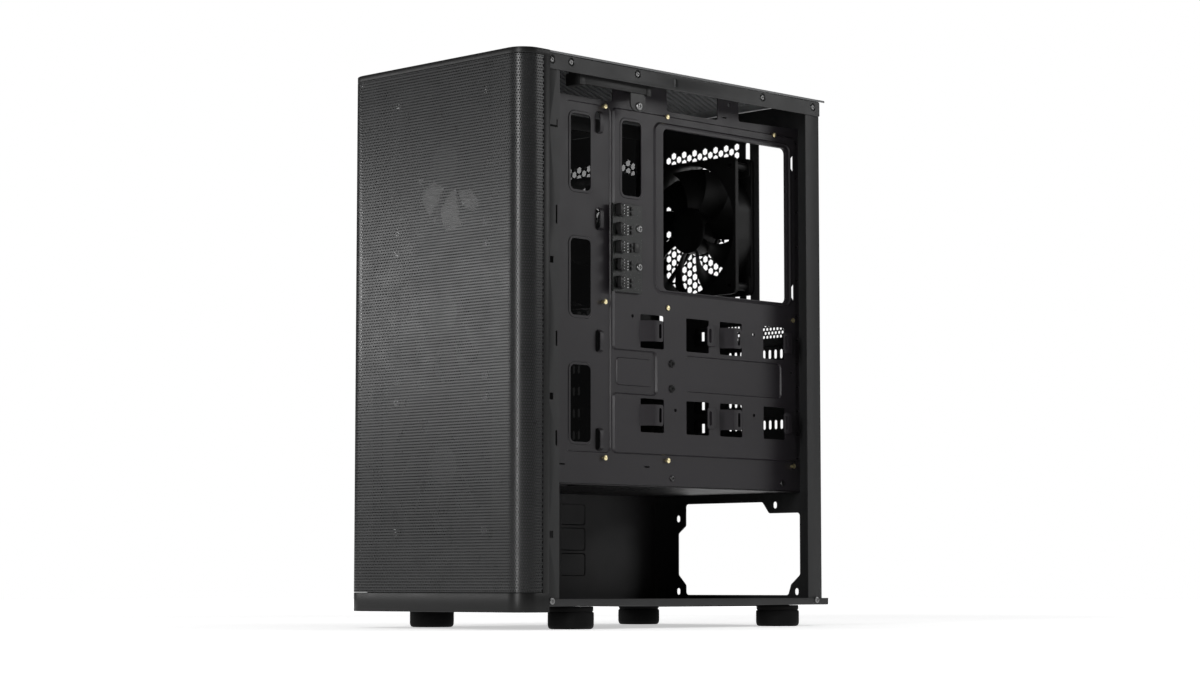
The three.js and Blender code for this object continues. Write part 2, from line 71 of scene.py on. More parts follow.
class Outline:
    """Corners (u, v, radius), anticlockwise, that become the points of a closed line."""

    def __init__(self, corners, steps=CORNER_STEPS):
        self.corners, self.steps = corners, steps

    @classmethod
    def of(cls, points, radius=0.0, steps=CORNER_STEPS):
        return cls([(u, v, radius) for u, v in points], steps)

    @classmethod
    def rect(cls, u0, u1, v0, v1, radius=0.0, steps=CORNER_STEPS):
        return cls.of([(u0, v0), (u1, v0), (u1, v1), (u0, v1)], radius, steps)

    @classmethod
    def disc(cls, u, v, radius, steps=6):
        return cls.rect(u - radius, u + radius, v - radius, v + radius, radius, steps)

    def sides(self):
        n = len(self.corners)
        for i, (u, v, radius) in enumerate(self.corners):
            before = direction(self.corners[i - 1][:2], (u, v))
            after = direction((u, v), self.corners[(i + 1) % n][:2])
            yield u, v, radius, before, after

    def grown(self, distance):
        """The same outline moved outwards, with its corners' centres kept."""
        corners = []
        for u, v, radius, (bu, bv), (au, av) in self.sides():
            spread = 1 + bu * au + bv * av
            convex = bu * av - bv * au > 0
            radius = max(radius + (distance if convex else -distance), 0.0) if radius else 0.0
            corners.append((u + (bv + av) * distance / spread,
                            v - (bu + au) * distance / spread, radius))
        return Outline(corners, self.steps)

    def points(self):
        out = []
        for u, v, radius, (bu, bv), (au, av) in self.sides():
            if radius == 0:
                out.append((u, v))
                continue
            turn = math.atan2(bu * av - bv * au, bu * au + bv * av)
            side = math.copysign(1.0, turn)
            reach = radius * math.tan(abs(turn) / 2)
            start = (u - bu * reach, v - bv * reach)
            centre = (start[0] - side * bv * radius, start[1] + side * bu * radius)
            for i in range(self.steps + 1):
                angle = turn * i / self.steps
                cu, cv = start[0] - centre[0], start[1] - centre[1]
                out.append((centre[0] + cu * math.cos(angle) - cv * math.sin(angle),
                            centre[1] + cu * math.sin(angle) + cv * math.cos(angle)))
        return [p for i, p in enumerate(out) if math.dist(p, out[i - 1]) > 1e-3]


# ---- sheet metal and mouldings ----
def spot(axis, u, v, level):
    """A point of a plane across an axis: (Y, Z) across X, (X, Z) across Y, (X, Y) across Z."""
    return {"x": (level, u, v), "y": (u, level, v), "z": (u, v, level)}[axis]


def verts_of(geom):
    return [g for g in geom if isinstance(g, bmesh.types.BMVert)]


def ring(bm, axis, level, outline):
    points = outline.points() if isinstance(outline, Outline) else outline
    verts = [bm.verts.new(spot(axis, u, v, level)) for u, v in points]
    return [bm.edges.new((verts[i - 1], verts[i])) for i in range(len(verts))]


def flat(bm, axis, level, outline, cutouts=(), fields=()):
    """A flat face inside an outline, round its cutouts and its perforated fields."""
    edges = ring(bm, axis, level, outline)
    for cutout in cutouts:
        edges += ring(bm, axis, level, cutout)
    for field in fields:
        edges += field
    made = bmesh.ops.triangle_fill(bm, use_beauty=True, use_dissolve=False, edges=edges)
    return made["geom"]


def wall(bm, axis, *stations):
    """Skins between outlines at successive levels, given as (outline, level)."""
    for (a, level_a), (b, level_b) in zip(stations, stations[1:]):
        edges = ring(bm, axis, level_a, a) + ring(bm, axis, level_b, b)
        bmesh.ops.bridge_loops(bm, edges=edges)


def press(bm, axis, level, outline, depth, cutouts=(), slope=None, fields=()):
    """A pressed area: its edge, steeper than 45 degrees unless told, and its floor."""
    floor = outline.grown(-abs(depth) * STEEP if slope is None else -slope)
    wall(bm, axis, (outline, level), (floor, level + depth))
    flat(bm, axis, level + depth, floor, cutouts, fields)


def rimmed(bm, axis, level, opening, width, height, slope=0.5):
    """A raised or sunk rim round an opening. Returns the outline that the sheet is cut to."""
    outer = opening.grown(width)
    wall(bm, axis, (outer, level), (outer.grown(-slope), level + height),
         (opening, level + height))
    return outer


def merge(bm, distance=0.01):
    bmesh.ops.remove_doubles(bm, verts=bm.verts[:], dist=distance)


def thicken(bm, outward, thickness=SHEET):
    """Closes an open skin whose outer face looks along `outward`."""
    merge(bm)
    bmesh.ops.recalc_face_normals(bm, faces=bm.faces[:])
    facing = sum((f.normal * f.calc_area() for f in bm.faces), Vector())
    if facing.dot(Vector(outward)) < 0:
        bmesh.ops.reverse_faces(bm, faces=bm.faces[:])
    bmesh.ops.solidify(bm, geom=bm.faces[:], thickness=thickness)


def fold(bm, axis, across, line, angle, radius=1.2, stages=3):
    """Bends what lies beyond a line. `across` is the side's direction, `axis` the bend's."""
    run = radius * abs(angle) / stages
    lines = [Vector(line) + Vector(across) * run * (i + 0.5) for i in range(stages)]
    for point in lines:
        bmesh.ops.bisect_plane(bm, geom=bm.verts[:] + bm.edges[:] + bm.faces[:], dist=1e-4,
                               plane_co=point, plane_no=across)
    moved = {}
    for point in reversed(lines):
        moved.update((v, True) for v in bm.verts if (v.co - point).dot(across) > 1e-3)
        bmesh.ops.rotate(bm, verts=list(moved), cent=point,
                         matrix=Matrix.Rotation(angle / stages, 3, axis))


def flange_sides(bm, low_x, high_x, level, way):
    """Turns both upright edges of a panel, inwards or outwards along Y."""
    for side, x in ((1, high_x - FLANGE_START), (-1, low_x + FLANGE_START)):
        fold(bm, "Z", (side, 0, 0), (x, level, 0), math.radians(90 * side * way), 1.0)


def perforate(bm, axis, level, rows, cell, hole):
    """Cells with a hole, at each row's places. Returns the edges round the whole field."""
    frame_mark = bm.verts.layers.int.get("frame") or bm.verts.layers.int.new("frame")
    (wide, tall), made, known = cell, [], {}
    u0, v0 = rows[0][1][0], rows[0][0]
    border = [(-wide / 2, -tall / 2), (0, -tall / 2), (wide / 2, -tall / 2),
              (wide / 2, tall / 2), (0, tall / 2), (-wide / 2, tall / 2)]
    pattern = flat(bm, axis, level, [(u0 + u, v0 + v) for u, v in border],
                   [[(u0 + u, v0 + v) for u, v in hole]])
    faces = [g for g in pattern if isinstance(g, bmesh.types.BMFace)]
    verts = list(dict.fromkeys(v for f in faces for v in f.verts))
    for v in verts:
        place = (v.co.y, v.co.z) if axis == "x" else \
            (v.co.x, v.co.z) if axis == "y" else (v.co.x, v.co.y)
        v[frame_mark] = abs(abs(place[1] - v0) - tall / 2) < 1e-3
    tile = verts + list(dict.fromkeys(e for f in faces for e in f.edges)) + faces
    for v, places in rows:
        signature = tuple(round(u, 4) for u in places)
        if signature in known:
            row_v, geom = known[signature]
            copy = bmesh.ops.duplicate(bm, geom=geom)["geom"]
            bmesh.ops.translate(bm, vec=spot(axis, 0, v - row_v, 0), verts=verts_of(copy))
            made += copy
            continue
        row = []
        for u in places:
            copy = bmesh.ops.duplicate(bm, geom=tile)["geom"]
            bmesh.ops.translate(bm, vec=spot(axis, u - u0, v - v0, 0), verts=verts_of(copy))
            row += copy
        known[signature] = (v, row)
        made += row
    bmesh.ops.delete(bm, geom=verts, context="VERTS")
    bmesh.ops.remove_doubles(bm, verts=verts_of(made), dist=0.02)
    return [e for e in bm.edges if e.is_valid and e.is_boundary
            and all(v[frame_mark] for v in e.verts)]


def staggered(u_range, v_range, cell, inside=None):
    """Rows of hole places with every second row moved along by half a cell."""
    wide, tall = cell
    rows = []
    for j in range(int((v_range[1] - v_range[0]) / tall)):
        v = v_range[0] + tall * (j + 0.5)
        first = u_range[0] + wide * (0.5 if j % 2 == 0 else 1.0)
        count = int((u_range[1] - first) / wide + 0.501)
        places = [first + wide * i for i in range(count)]
        if inside:
            places = [u for u in places if inside(u, v)]
        if places:
            rows.append((v, places))
    return rows


def polygon(radius, sides, turn=0.0, stretch=1.0):
    return [(radius * math.cos(turn + math.tau * i / sides),
             radius * stretch * math.sin(turn + math.tau * i / sides)) for i in range(sides)]


def turned(bm, axis, centre, profile, steps=TURN_STEPS):
    """A round shape spun about an axis through `centre` from (radius, height) points."""
    side, up = (AXES["y"] if axis == "x" else AXES["x"]), AXES[axis]
    centre = Vector(centre)
    verts = [bm.verts.new(centre + side * r + up * h) for r, h in profile]
    edges = [bm.edges.new(pair) for pair in zip(verts, verts[1:])]
    bmesh.ops.spin(bm, geom=verts + edges, cent=centre, axis=up, angle=math.tau, steps=steps,
                   use_merge=True, use_duplicate=False)


def block(bm, low, high, bevel=0.0, segments=2):
    """A box between two corners, its edges rounded."""
    low, high = Vector(low), Vector(high)
    made = bmesh.ops.create_cube(bm, size=1.0)["verts"]
    bmesh.ops.scale(bm, vec=high - low, verts=made)
    bmesh.ops.translate(bm, vec=(low + high) / 2, verts=made)
    if bevel:
        edges = list(dict.fromkeys(e for v in made for e in v.link_edges))
        bmesh.ops.bevel(bm, geom=edges, offset=bevel, segments=segments, profile=0.5,
                        affect="EDGES", material=-1)


def slab(bm, axis, low, high, outline, cutouts=(), bevel=0.3):
    """A solid with a flat outline, its two faces' edges eased."""
    eased = outline.grown(-bevel)
    flat(bm, axis, low, eased, cutouts)
    flat(bm, axis, high, eased, cutouts)
    wall(bm, axis, (eased, low), (outline, low + bevel), (outline, high - bevel), (eased, high))
    for cutout in cutouts:
        wall(bm, axis, (cutout, low), (cutout, high))


def screw_head(bm, axis, centre, radius, height, way=1):
    """A pan head with a cross recess, facing along the axis or against it."""
    u, v, seat = centre
    arm, half = radius * 0.52, radius * 0.15
    cross = Outline.of([(u - half, v - arm), (u + half, v - arm), (u + half, v - half),
                        (u + arm, v - half), (u + arm, v + half), (u + half, v + half),
                        (u + half, v + arm), (u - half, v + arm), (u - half, v + half),
                        (u - arm, v + half), (u - arm, v - half), (u - half, v - half)])
    top = seat + way * height
    wall(bm, axis, (Outline.disc(u, v, radius), seat),
         (Outline.disc(u, v, radius), seat + way * height * 0.45),
         (Outline.disc(u, v, radius * 0.88), seat + way * height * 0.82),
         (Outline.disc(u, v, radius * 0.66), top))
    flat(bm, axis, top, Outline.disc(u, v, radius * 0.66), [cross])
    wall(bm, axis, (cross, top), (cross.grown(-half * 0.4), top - way * height * 0.6))
    flat(bm, axis, top - way * height * 0.6, cross.grown(-half * 0.4))
    flat(bm, axis, seat, Outline.disc(u, v, radius))


def finish(name, bm, paint, body="chassis", nodes=(), slot=None, closed=False, angle=32):
    """Turns a bmesh in millimetres into a piece on its body."""
    merge(bm)
    if closed:
        bmesh.ops.recalc_face_normals(bm, faces=bm.faces[:])
    bmesh.ops.scale(bm, vec=(MM, MM, MM), verts=bm.verts[:])
    mesh = bpy.data.meshes.new(name)
    bm.to_mesh(mesh)
    bm.free()
    mesh.materials.append(paint.material)
    mesh.shade_smooth()
    mesh.set_sharp_from_angle(angle=math.radians(angle))
    piece = bpy.data.objects.new(name, mesh)
    bpy.context.scene.collection.objects.link(piece)
    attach(piece, body)
    if nodes:
        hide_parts(*nodes)
    slot = slot or paint.slot
    return piece


def screws(name, axis, places, radius, height, paint, way=1):
    """One piece with a screw head at each (u, v, seat)."""
    bm = bmesh.new()
    for place in places:
        screw_head(bm, axis, place, radius, height, way)
    finish(name, bm, paint, closed=True)


def vents(bm, axis, level, u_range, v_range, cell, radius):
    """A staggered field of six-sided holes."""
    return perforate(bm, axis, level, staggered(u_range, v_range, cell), cell,
                     polygon(radius, 6, math.radians(30)))


# ---- finishes ----
class Signal:
    """A node's socket. Arithmetic on it adds Math nodes."""

    def __init__(self, paint, socket):
        self.paint, self.socket = paint, socket

    def maths(self, operation, a, b):
        return self.paint.node("ShaderNodeMath", {"operation": operation}, {0: a, 1: b})

    def __add__(self, other):
        return self.maths("ADD", self, other)

    def __sub__(self, other):
        return self.maths("SUBTRACT", self, other)

    def __rsub__(self, other):
        return self.maths("SUBTRACT", other, self)

    def __mul__(self, other):
        return self.maths("MULTIPLY", self, other)

    def __gt__(self, other):
        return self.maths("GREATER_THAN", self, other)

    def __lt__(self, other):
        return self.maths("LESS_THAN", self, other)

    __radd__ = __add__
    __rmul__ = __mul__


# The record's slot for a finish, where its name differs from the finish's own.
SLOT_OF = {"black_powder_coat": "powder_coated_steel", "roof_powder_coat_painted_light": "powder_coated_steel",
           "black_powder_coat_inside_painted_shade": "powder_coated_steel", "hub_label": "fan_blade_plastic",
           "tray_powder_coat": "powder_coated_steel", "mesh_paint": "mesh_sheet",
           "liner_plastic": "bezel_plastic", "module_plastic": "black_plastic",
           "black_zinc_screws": "black_screw", "dull_zinc_screws": "black_screw"}


class Paint:
    """A procedural material on object coordinates."""

    def __init__(self, name, **constants):
        self.material, self.slot = bpy.data.materials.new(name), SLOT_OF.get(name, name)
        self.material.use_nodes = True
        self.tree = self.material.node_tree
        self.shader = self.tree.nodes["Principled BSDF"]
        self.place = self.node("ShaderNodeTexCoord", output="Object")
        for key, value in constants.items():
            self.shader.inputs[key.replace("_", " ")].default_value = value

    def node(self, kind, settings=None, values=None, output=0):
        made = self.tree.nodes.new(kind)
        for key, value in (settings or {}).items():
            if key == "stops":
                for stop, (position, colour) in zip(made.color_ramp.elements, value):
                    stop.position, stop.color = position, colour
            else:
                setattr(made, key, value)
        for key, value in (values or {}).items():
            self.feed(made.inputs[key], value)
        return Signal(self, made.outputs[output])

    def feed(self, target, value):
        if isinstance(value, Signal):
            self.tree.links.new(value.socket, target)
        else:
            target.default_value = value

    def set(self, **values):
        for key, value in values.items():
            self.feed(self.shader.inputs[key.replace("_", " ")], value)
        return self

    def noise(self, scale, detail=3.0, rough=0.55):
        return self.node("ShaderNodeTexNoise", {},
                         {"Vector": self.place, "Scale": scale, "Detail": detail,
                          "Roughness": rough})

    def cells(self, scale):
        return self.node("ShaderNodeTexVoronoi", {}, {"Vector": self.place, "Scale": scale})

    def along(self, axis):
        """One coordinate, in metres."""
        return self.node("ShaderNodeSeparateXYZ", {}, {0: self.place}, output=axis)

    def mix(self, amount, dark, light):
        return self.node("ShaderNodeMix", {"data_type": "RGBA"},
                         {0: amount, 6: dark, 7: light}, output=2)

    def bump(self, height, strength, distance):
        normal = self.node("ShaderNodeBump", {},
                           {"Height": height, "Strength": strength, "Distance": distance})
        return self.set(Normal=normal)


def grey(value, tint=(1.0, 1.0, 1.0)):
    return (value * tint[0], value * tint[1], value * tint[2], 1.0)


COOL, PLUM = (0.98, 1.0, 1.02), (1.08, 0.94, 1.12)


def powder_coat(name, dark, light, roughness=0.5, grain=1500.0, tint=COOL):
    """Baked paint with a fine orange peel and faint handling marks."""
    paint = Paint(name, Specular_IOR_Level=0.32)
    cloud, peel, rub = paint.noise(14.0, 4.0), paint.noise(grain, 2.0), paint.noise(60.0, 5.0)
    paint.set(Base_Color=paint.mix(cloud, grey(dark, tint), grey(light, tint)),
              Roughness=rub * 0.16 + (roughness - 0.08))
    return paint.bump(peel + paint.cells(grain * 0.6) * 0.3, 0.12, 0.00005)


def moulded(name, dark, light, roughness=0.45, grain=2200.0, bump=0.15, specular=0.3):
    """Spark-eroded plastic: a fine even texture."""
    paint = Paint(name, Specular_IOR_Level=specular)
    cloud, grit = paint.noise(22.0, 3.0), paint.cells(grain)
    paint.set(Base_Color=paint.mix(cloud, grey(dark), grey(light)),
              Roughness=paint.noise(90.0, 4.0) * 0.14 + (roughness - 0.07))
    return paint.bump(grit, bump, 0.00004)


def metal(name, dark, light, roughness, scratch=(40.0, 900.0, 900.0)):
    """Bare metal with drawing lines and a little tarnish."""
    paint = Paint(name, Metallic=1.0)
    grained = paint.node("ShaderNodeMapping", {}, {"Vector": paint.place, "Scale": scratch})
    lines = paint.node("ShaderNodeTexNoise", {}, {"Vector": grained, "Scale": 1.0, "Detail": 3.0})
    tarnish = paint.noise(180.0, 4.0)
    paint.set(Base_Color=paint.mix(tarnish, dark, light),
              Roughness=lines * 0.22 + (roughness - 0.1))
    return paint.bump(lines, 0.2, 0.00003)


STEEL = powder_coat("black_powder_coat", 0.010, 0.014, 0.46)
# Painted light: the roof is the same black powder coat as the rest of the case, painted about ten
# times lighter so that it looks lit through the top filter.
ROOF_STEEL_PAINTED_LIGHT = powder_coat("roof_powder_coat_painted_light", 0.11, 0.13, 0.46)
# Painted shade: the power supply shroud is the same black powder coat as the outside, painted darker
# to stand for the shade inside the case.
INNER_STEEL_PAINTED_SHADE = powder_coat("black_powder_coat_inside_painted_shade", 0.004, 0.006, 0.5, tint=PLUM)
TRAY_STEEL = powder_coat("tray_powder_coat", 0.010, 0.014, 0.42, tint=PLUM)
MESH_STEEL = powder_coat("mesh_paint", 0.012, 0.016, 0.30, 2600.0)
BEZEL = moulded("bezel_plastic", 0.005, 0.007, 0.36, specular=0.2)
LINER = moulded("liner_plastic", 0.05, 0.062, 0.4)
FAN_PLASTIC = moulded("fan_frame_plastic", 0.003, 0.006, 0.44, specular=0.18)
BLADE_PLASTIC = moulded("fan_blade_plastic", 0.003, 0.006, 0.38, 2600.0, 0.08, 0.15)
LABEL = moulded("hub_label", 0.09, 0.11, 0.5, 3000.0, 0.05)
CONNECTOR = moulded("connector_plastic", 0.008, 0.012, 0.38, 3000.0, 0.1)
MODULE_PLASTIC = moulded("module_plastic", 0.008, 0.012, 0.4)
SCREW = metal("black_zinc_screws", grey(0.05), grey(0.09), 0.34)
RAIL_SCREW = metal("dull_zinc_screws", grey(0.16), grey(0.26), 0.36)
PLATED = metal("plated_steel", grey(0.42), grey(0.58), 0.3)
BRASS = metal("brass", (0.72, 0.60, 0.30, 1.0), (0.95, 0.85, 0.55, 1.0), 0.34)


def rubber():
    paint = Paint("rubber", Specular_IOR_Level=0.1)
    speck, cloud = paint.cells(1400.0), paint.noise(45.0, 5.0)
    paint.set(Base_Color=paint.mix(cloud, grey(0.002), grey(0.005)),
              Roughness=cloud * 0.2 + 0.6)
    return paint.bump(speck + cloud, 0.3, 0.00008)


def circuit_board():
    """Dark solder mask with copper runs, pads and sprinkled parts showing through."""
    paint = Paint("circuit_board", Specular_IOR_Level=0.35)
    runs = paint.node("ShaderNodeTexBrick", {"offset": 0.35},
                      {"Vector": paint.node("ShaderNodeMapping", {},
                                            {"Vector": paint.place,
                                             "Rotation": (0.0, math.radians(90), 0.0)}),
                       "Scale": 1.0, "Mortar Size": 0.00018, "Brick Width": 0.006,
                       "Row Height": 0.0016}, output="Fac")
    dots = paint.cells(620.0) < 0.11
    paint.set(Base_Color=paint.mix(dots, paint.mix(runs, grey(0.005), (0.010, 0.014, 0.012, 1)),
                                   grey(0.22)),
              Roughness=paint.noise(300.0) * 0.2 + 0.28)
    return paint.bump(runs + dots, 0.3, 0.0001)


def tinted_glass():
    """Toughened glass with a dark tint and a printed border."""
    low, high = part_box("glass_panel")
    paint = Paint("tinted_glass", Roughness=0.02, IOR=1.5, Transmission_Weight=1.0)
    y, z = paint.along("Y"), paint.along("Z")
    margin = 0.009
    border = (y < low.y + margin) + (y > high.y - margin) + \
        (z < low.z + margin) + (z > high.z - margin)
    smoke = paint.mix(paint.noise(6.0), grey(0.018, COOL), grey(0.026, COOL))
    paint.set(Base_Color=paint.mix(border > 0.5, smoke, grey(0.002)),
              Roughness=(border > 0.5) * 0.1 + paint.noise(400.0) * 0.015)
    return paint


RUBBER, BOARD, GLASS = rubber(), circuit_board(), tinted_glass()


def woven_filter():
    """Fine nylon mesh: woven threads over dark gaps."""
    paint = Paint("filter_mesh", Specular_IOR_Level=0.3)
    pitch = 900.0
    x, y = paint.along("X"), paint.along("Y")
    warp = paint.node("ShaderNodeMath", {"operation": "PINGPONG"}, {0: x * pitch, 1: 0.5})
    weft = paint.node("ShaderNodeMath", {"operation": "PINGPONG"}, {0: y * pitch, 1: 0.5})
    thread = paint.node("ShaderNodeMath", {"operation": "MAXIMUM"}, {0: warp, 1: weft})
    paint.set(Base_Color=paint.mix(thread > 0.3, grey(0.004), grey(0.03)),
              Roughness=paint.noise(200.0) * 0.2 + 0.6)
    return paint.bump(thread, 0.6, 0.0002)


FILTER = woven_filter()

# ---- planes read from the frame ----
tray_low, tray_high = box("motherboard_tray")
top_low, top_high = box("top_panel")
base_low, base_high = box("base_panel")
rear_low, rear_high = box("rear_panel")
front_low, front_high = box("front_frame")
bezel_low, bezel_high = box("bezel_shell")
mesh_low, mesh_high = box("bezel_mesh")
shelf_low, shelf_high = box("psu_shroud")
TRAY_FACE = tray_low.x + SHEET
REAR_FACE = rear_high.y - SHEET
OPEN_SIDE, GLASS_SIDE = top_high.x, top_low.x


# ---- motherboard tray ----
CHANNEL_DEPTH = -1.0
RAISED = 1.7
RIM_WIDTH, RIM_HEIGHT = 2.3, 0.55
CABLE_OPENING = (22.4, 61.0)
DRIVE_HOLE = 27.4
DRIVE_ROWS = (224.8, 156.8)
RAMP_HOOKS, EAR_HOOKS = (-25.0, 69.8), (29.0, 124.0)
HOOK_RUN, HOOK_FLAT, HOOK_HALF, HOOK_CORNER = 8.5, 9.8, 8.5, 2.0
TIE_ROWS, TIE_Y = (403.3, 325.4, 227.6, 149.4), -69.5
CRIMP_ROWS = (412.7, 382.9, 353.0, 323.3, 294.0, 263.4, 243.1, 222.8, 202.4, 182.1, 161.8, 141.5)


def cable_opening(y, z):
    return Outline.rect(y, y + CABLE_OPENING[0], z, z + CABLE_OPENING[1], 4.0)


def tray():
    bm = bmesh.new()
    low, high, top = shelf_high.z + 0.3, tray_high.z, 421.5
    edge = Outline([(-117, low, 1), (172.7, low, 1), (172.7, top + 4, 1), (96, top + 2, 2),
                    (96, high, 3), (70, high, 3), (70, top, 2), (8, top, 3), (8, high, 3),
                    (-55, high, 3), (-55, top, 3), (-117, top, 3)])
    channel = Outline.rect(-108.5, -57.2, 138.7, 417.5, 5.0)
    raised = Outline.of([(-55.6, 138.7), (166.3, 138.7), (166.3, 417.5), (-55.6, 417.5),
                         (-55.6, 221.5), (-6.4, 221.5), (-6.4, 187.5), (-55.6, 187.5)], 3.5)
    lances = [Outline.rect(y, y + 6.0, z, z + 1.2) for y, z in ((-114.6, 128.0), (-18.8, 128.4))]
    crimps = [Outline.of([(167.8, z - 1.0), (171.2, z - 1.0), (171.2, z + 1.0), (167.8, z + 1.0)])
              for z in CRIMP_ROWS]
    lances += [Outline.disc(84.0, 436.0, 1.8, 3), Outline.rect(76.0, 81.0, 424.0, 425.2)]
    notch = Outline.rect(-51.5, -11.0, 193.5, 216.0, 3.0)
    flat(bm, "x", TRAY_FACE, edge, [channel, raised, notch, *lances, *crimps])
    press(bm, "x", TRAY_FACE, notch, 0.9)
    for crimp in crimps:
        press(bm, "x", TRAY_FACE, crimp, -1.1, slope=0.3)

    in_channel = TRAY_FACE + CHANNEL_DEPTH
    holes = [rimmed(bm, "x", in_channel, cable_opening(-101.9, z), RIM_WIDTH, RIM_HEIGHT)
             for z in (346.8, 246.8, 146.6)]
    holes += [Outline.rect(TIE_Y - 4, TIE_Y + 4, z - 8.5, z + 8.5, 1.0, 2) for z in TIE_ROWS]
    press(bm, "x", TRAY_FACE, channel, CHANNEL_DEPTH, holes)

    top_level = TRAY_FACE + RAISED
    cooler_rim = Outline.rect(-9.5, 159.6, 270.2, 411.2, 8.0, 6)
    cooler = Outline.rect(1.6, 154.6, 273.4, 406.6, 5.0, 6)
    plate = Outline.rect(28.0, 147.0, 191.5, 221.5, 4.0)
    holes = [cooler_rim, plate, rimmed(bm, "x", top_level, cable_opening(-46.7, 346.8),
                                       RIM_WIDTH, RIM_HEIGHT)]
    for z in DRIVE_ROWS:
        holes += [Outline.rect(y, y + DRIVE_HOLE, z, z + DRIVE_HOLE, 1.2, 2)
                  for y in RAMP_HOOKS + EAR_HOOKS]
    for z in (276.0, 387.0):
        holes.append(Outline.of([(160.6, z + 3), (163.6, z), (163.6, z + 15), (160.6, z + 12)]))
    holes += [Outline.disc(y, z, 1.5, 3) for y, z in
              ((-34.0, 300.0), (-34.0, 250.0), (16.0, 176.0), (112.0, 244.0), (112.0, 176.0),
               (160.0, 214.0), (60.0, 243.0), (60.0, 166.0))]
    press(bm, "x", TRAY_FACE, raised, RAISED, holes)
    ridge, band = cooler_rim.grown(-1.3), cooler_rim.grown(-2.4)
    wall(bm, "x", (cooler_rim, top_level), (ridge, top_level + 1.3), (band, top_level + 0.4))
    flat(bm, "x", top_level + 0.4, band, [cooler])
    wall(bm, "x", (cooler, top_level + 0.4), (cooler, top_level - 3.0))
    press(bm, "x", top_level, plate, -1.2)
    thicken(bm, AXES["x"])
    finish("motherboard_tray_sheet", bm, TRAY_STEEL, nodes=["motherboard_tray"])


def draw_strip(bm, edge, path):
    """Extrudes an edge along a path of steps, each a way to place its vertices."""
    for shift in path:
        grown = bmesh.ops.extrude_edge_only(bm, edges=[edge])["geom"]
        new = verts_of(grown)
        bmesh.ops.translate(bm, vec=shift(new[0].co), verts=new)
        edge = next(e for e in grown if isinstance(e, bmesh.types.BMEdge)
                    and all(v in new for v in e.verts))


def hook(y, z, ramped):
    """A lanced tongue that stands off the tray and carries a drive screw."""
    bm = bmesh.new()
    level = tray_high.x - SHEET
    front, rear = y, y + DRIVE_HOLE
    knee = front + HOOK_RUN if ramped else rear - 0.4
    side = 1 if ramped else -1
    tip = knee + side * HOOK_FLAT
    middle = z + DRIVE_HOLE / 2
    slot_y = (knee + tip) / 2 + side * 1.5
    slot = Outline.rect(slot_y - 1.5, slot_y + 1.5, middle - 6, middle + 6, 1.4, 3)
    u0, u1 = sorted((knee, tip))
    corners = [(u0, middle - HOOK_HALF), (u1, middle - HOOK_HALF),
               (u1, middle + HOOK_HALF), (u0, middle + HOOK_HALF)]
    tongue = Outline([(u, v, HOOK_CORNER if u == tip else 0.0) for u, v in corners])
    flat(bm, "x", level, tongue, [slot])
    foot = front - 1.5 if ramped else rear + 1.5
    base = TRAY_FACE + RAISED - SHEET
    path = [(knee - side * 0.9, level - 0.5), (foot + side * 1.0, base + 0.9), (foot, base)]
    if not ramped:
        path = [(knee + 0.9, level - 0.4), (knee + 1.3, level - 1.2), (knee + 1.3, base + 0.8),
                (knee + 2.2, base)]
    edge = min((e for e in bm.edges if e.is_boundary
                and all(abs(v.co.y - knee) < 0.01 for v in e.verts)),
               key=lambda e: -e.calc_length())
    draw_strip(bm, edge, [lambda co, x=x, y=y: (x - co.x, y - co.y, 0) for y, x in path])
    thicken(bm, AXES["x"])
    return bm


def tie_loop(z):
    """A narrow bridge lanced out of the tray, for a cable tie."""
    bm = bmesh.new()
    base, top = TRAY_FACE + CHANNEL_DEPTH - SHEET + 0.2, TRAY_FACE + 2.4
    half = 1.9
    path = [(z - 9.6, base), (z - 7.2, top - 0.6), (z - 5.6, top), (z + 5.6, top),
            (z + 7.2, top - 0.6), (z + 9.6, base)]
    start = [bm.verts.new((path[0][1], TIE_Y + side * half, path[0][0])) for side in (-1, 1)]
    edge = bm.edges.new(start)
    draw_strip(bm, edge, [lambda co, x=x, z=z: (x - co.x, 0, z - co.z) for z, x in path[1:]])
    thicken(bm, AXES["x"])
    return bm


def absorb(target, part):
    """Adds one bmesh's geometry to another."""
    mesh = bpy.data.meshes.new("part")
    part.to_mesh(mesh)
    part.free()
    target.from_mesh(mesh)
    bpy.data.meshes.remove(mesh)


tray()
hooks = bmesh.new()
for row in DRIVE_ROWS:
    for y in RAMP_HOOKS:
        absorb(hooks, hook(y, row, True))
    for y in EAR_HOOKS:
        absorb(hooks, hook(y, row, False))
for row in TIE_ROWS:
    absorb(hooks, tie_loop(row))
finish("tray_hooks_and_loops", hooks, TRAY_STEEL)


# ---- top: roof plate, rails and their screws ----
RAIL_SCREWS = ((-146.2, 441.2), (-125.3, 441.7), (-50.6, 441.8), (99.8, 441.6), (164.3, 441.1))
BASE_SCREWS = ((-146.1, 21.8), (164.6, 21.8))
ROOF_CELL, ROOF_HOLE = (6.0, 5.2), 2.2
FLOOR_CELL, FLOOR_HOLE = (6.4, 5.2), 2.35
DIMPLE, DIMPLE_DEPTH = 3.6, 1.4
LIP = 2.4
MODULE_X = (79.6, 96.4)


def roof():
    """The cover: perforated over the fan area, with a narrow lip turned down each side."""
    bm = bmesh.new()
    level = top_high.z
    low, high = box("top_filter")
    field = vents(bm, "z", level, (low.x + 4, high.x - 4), (low.y + 4, high.y - 4), ROOF_CELL,
                  ROOF_HOLE)
    cut = Outline.rect(*MODULE_X, box("io_housing")[0].y + 1, -25.0, 3.0)
    flat(bm, "z", level, Outline.rect(GLASS_SIDE - LIP + 1.6, OPEN_SIDE + LIP - 1.6,
                                      top_low.y, top_high.y), [cut], [field])
    merge(bm)
    fold(bm, "Y", (1, 0, 0), (OPEN_SIDE - 1.6, 0, level), math.radians(90), 1.0)
    fold(bm, "Y", (-1, 0, 0), (GLASS_SIDE + 1.6, 0, level), math.radians(-90), 1.0)
    thicken(bm, AXES["z"], 0.6)
    finish("roof_cover", bm, ROOF_STEEL_PAINTED_LIGHT, nodes=["top_panel"])


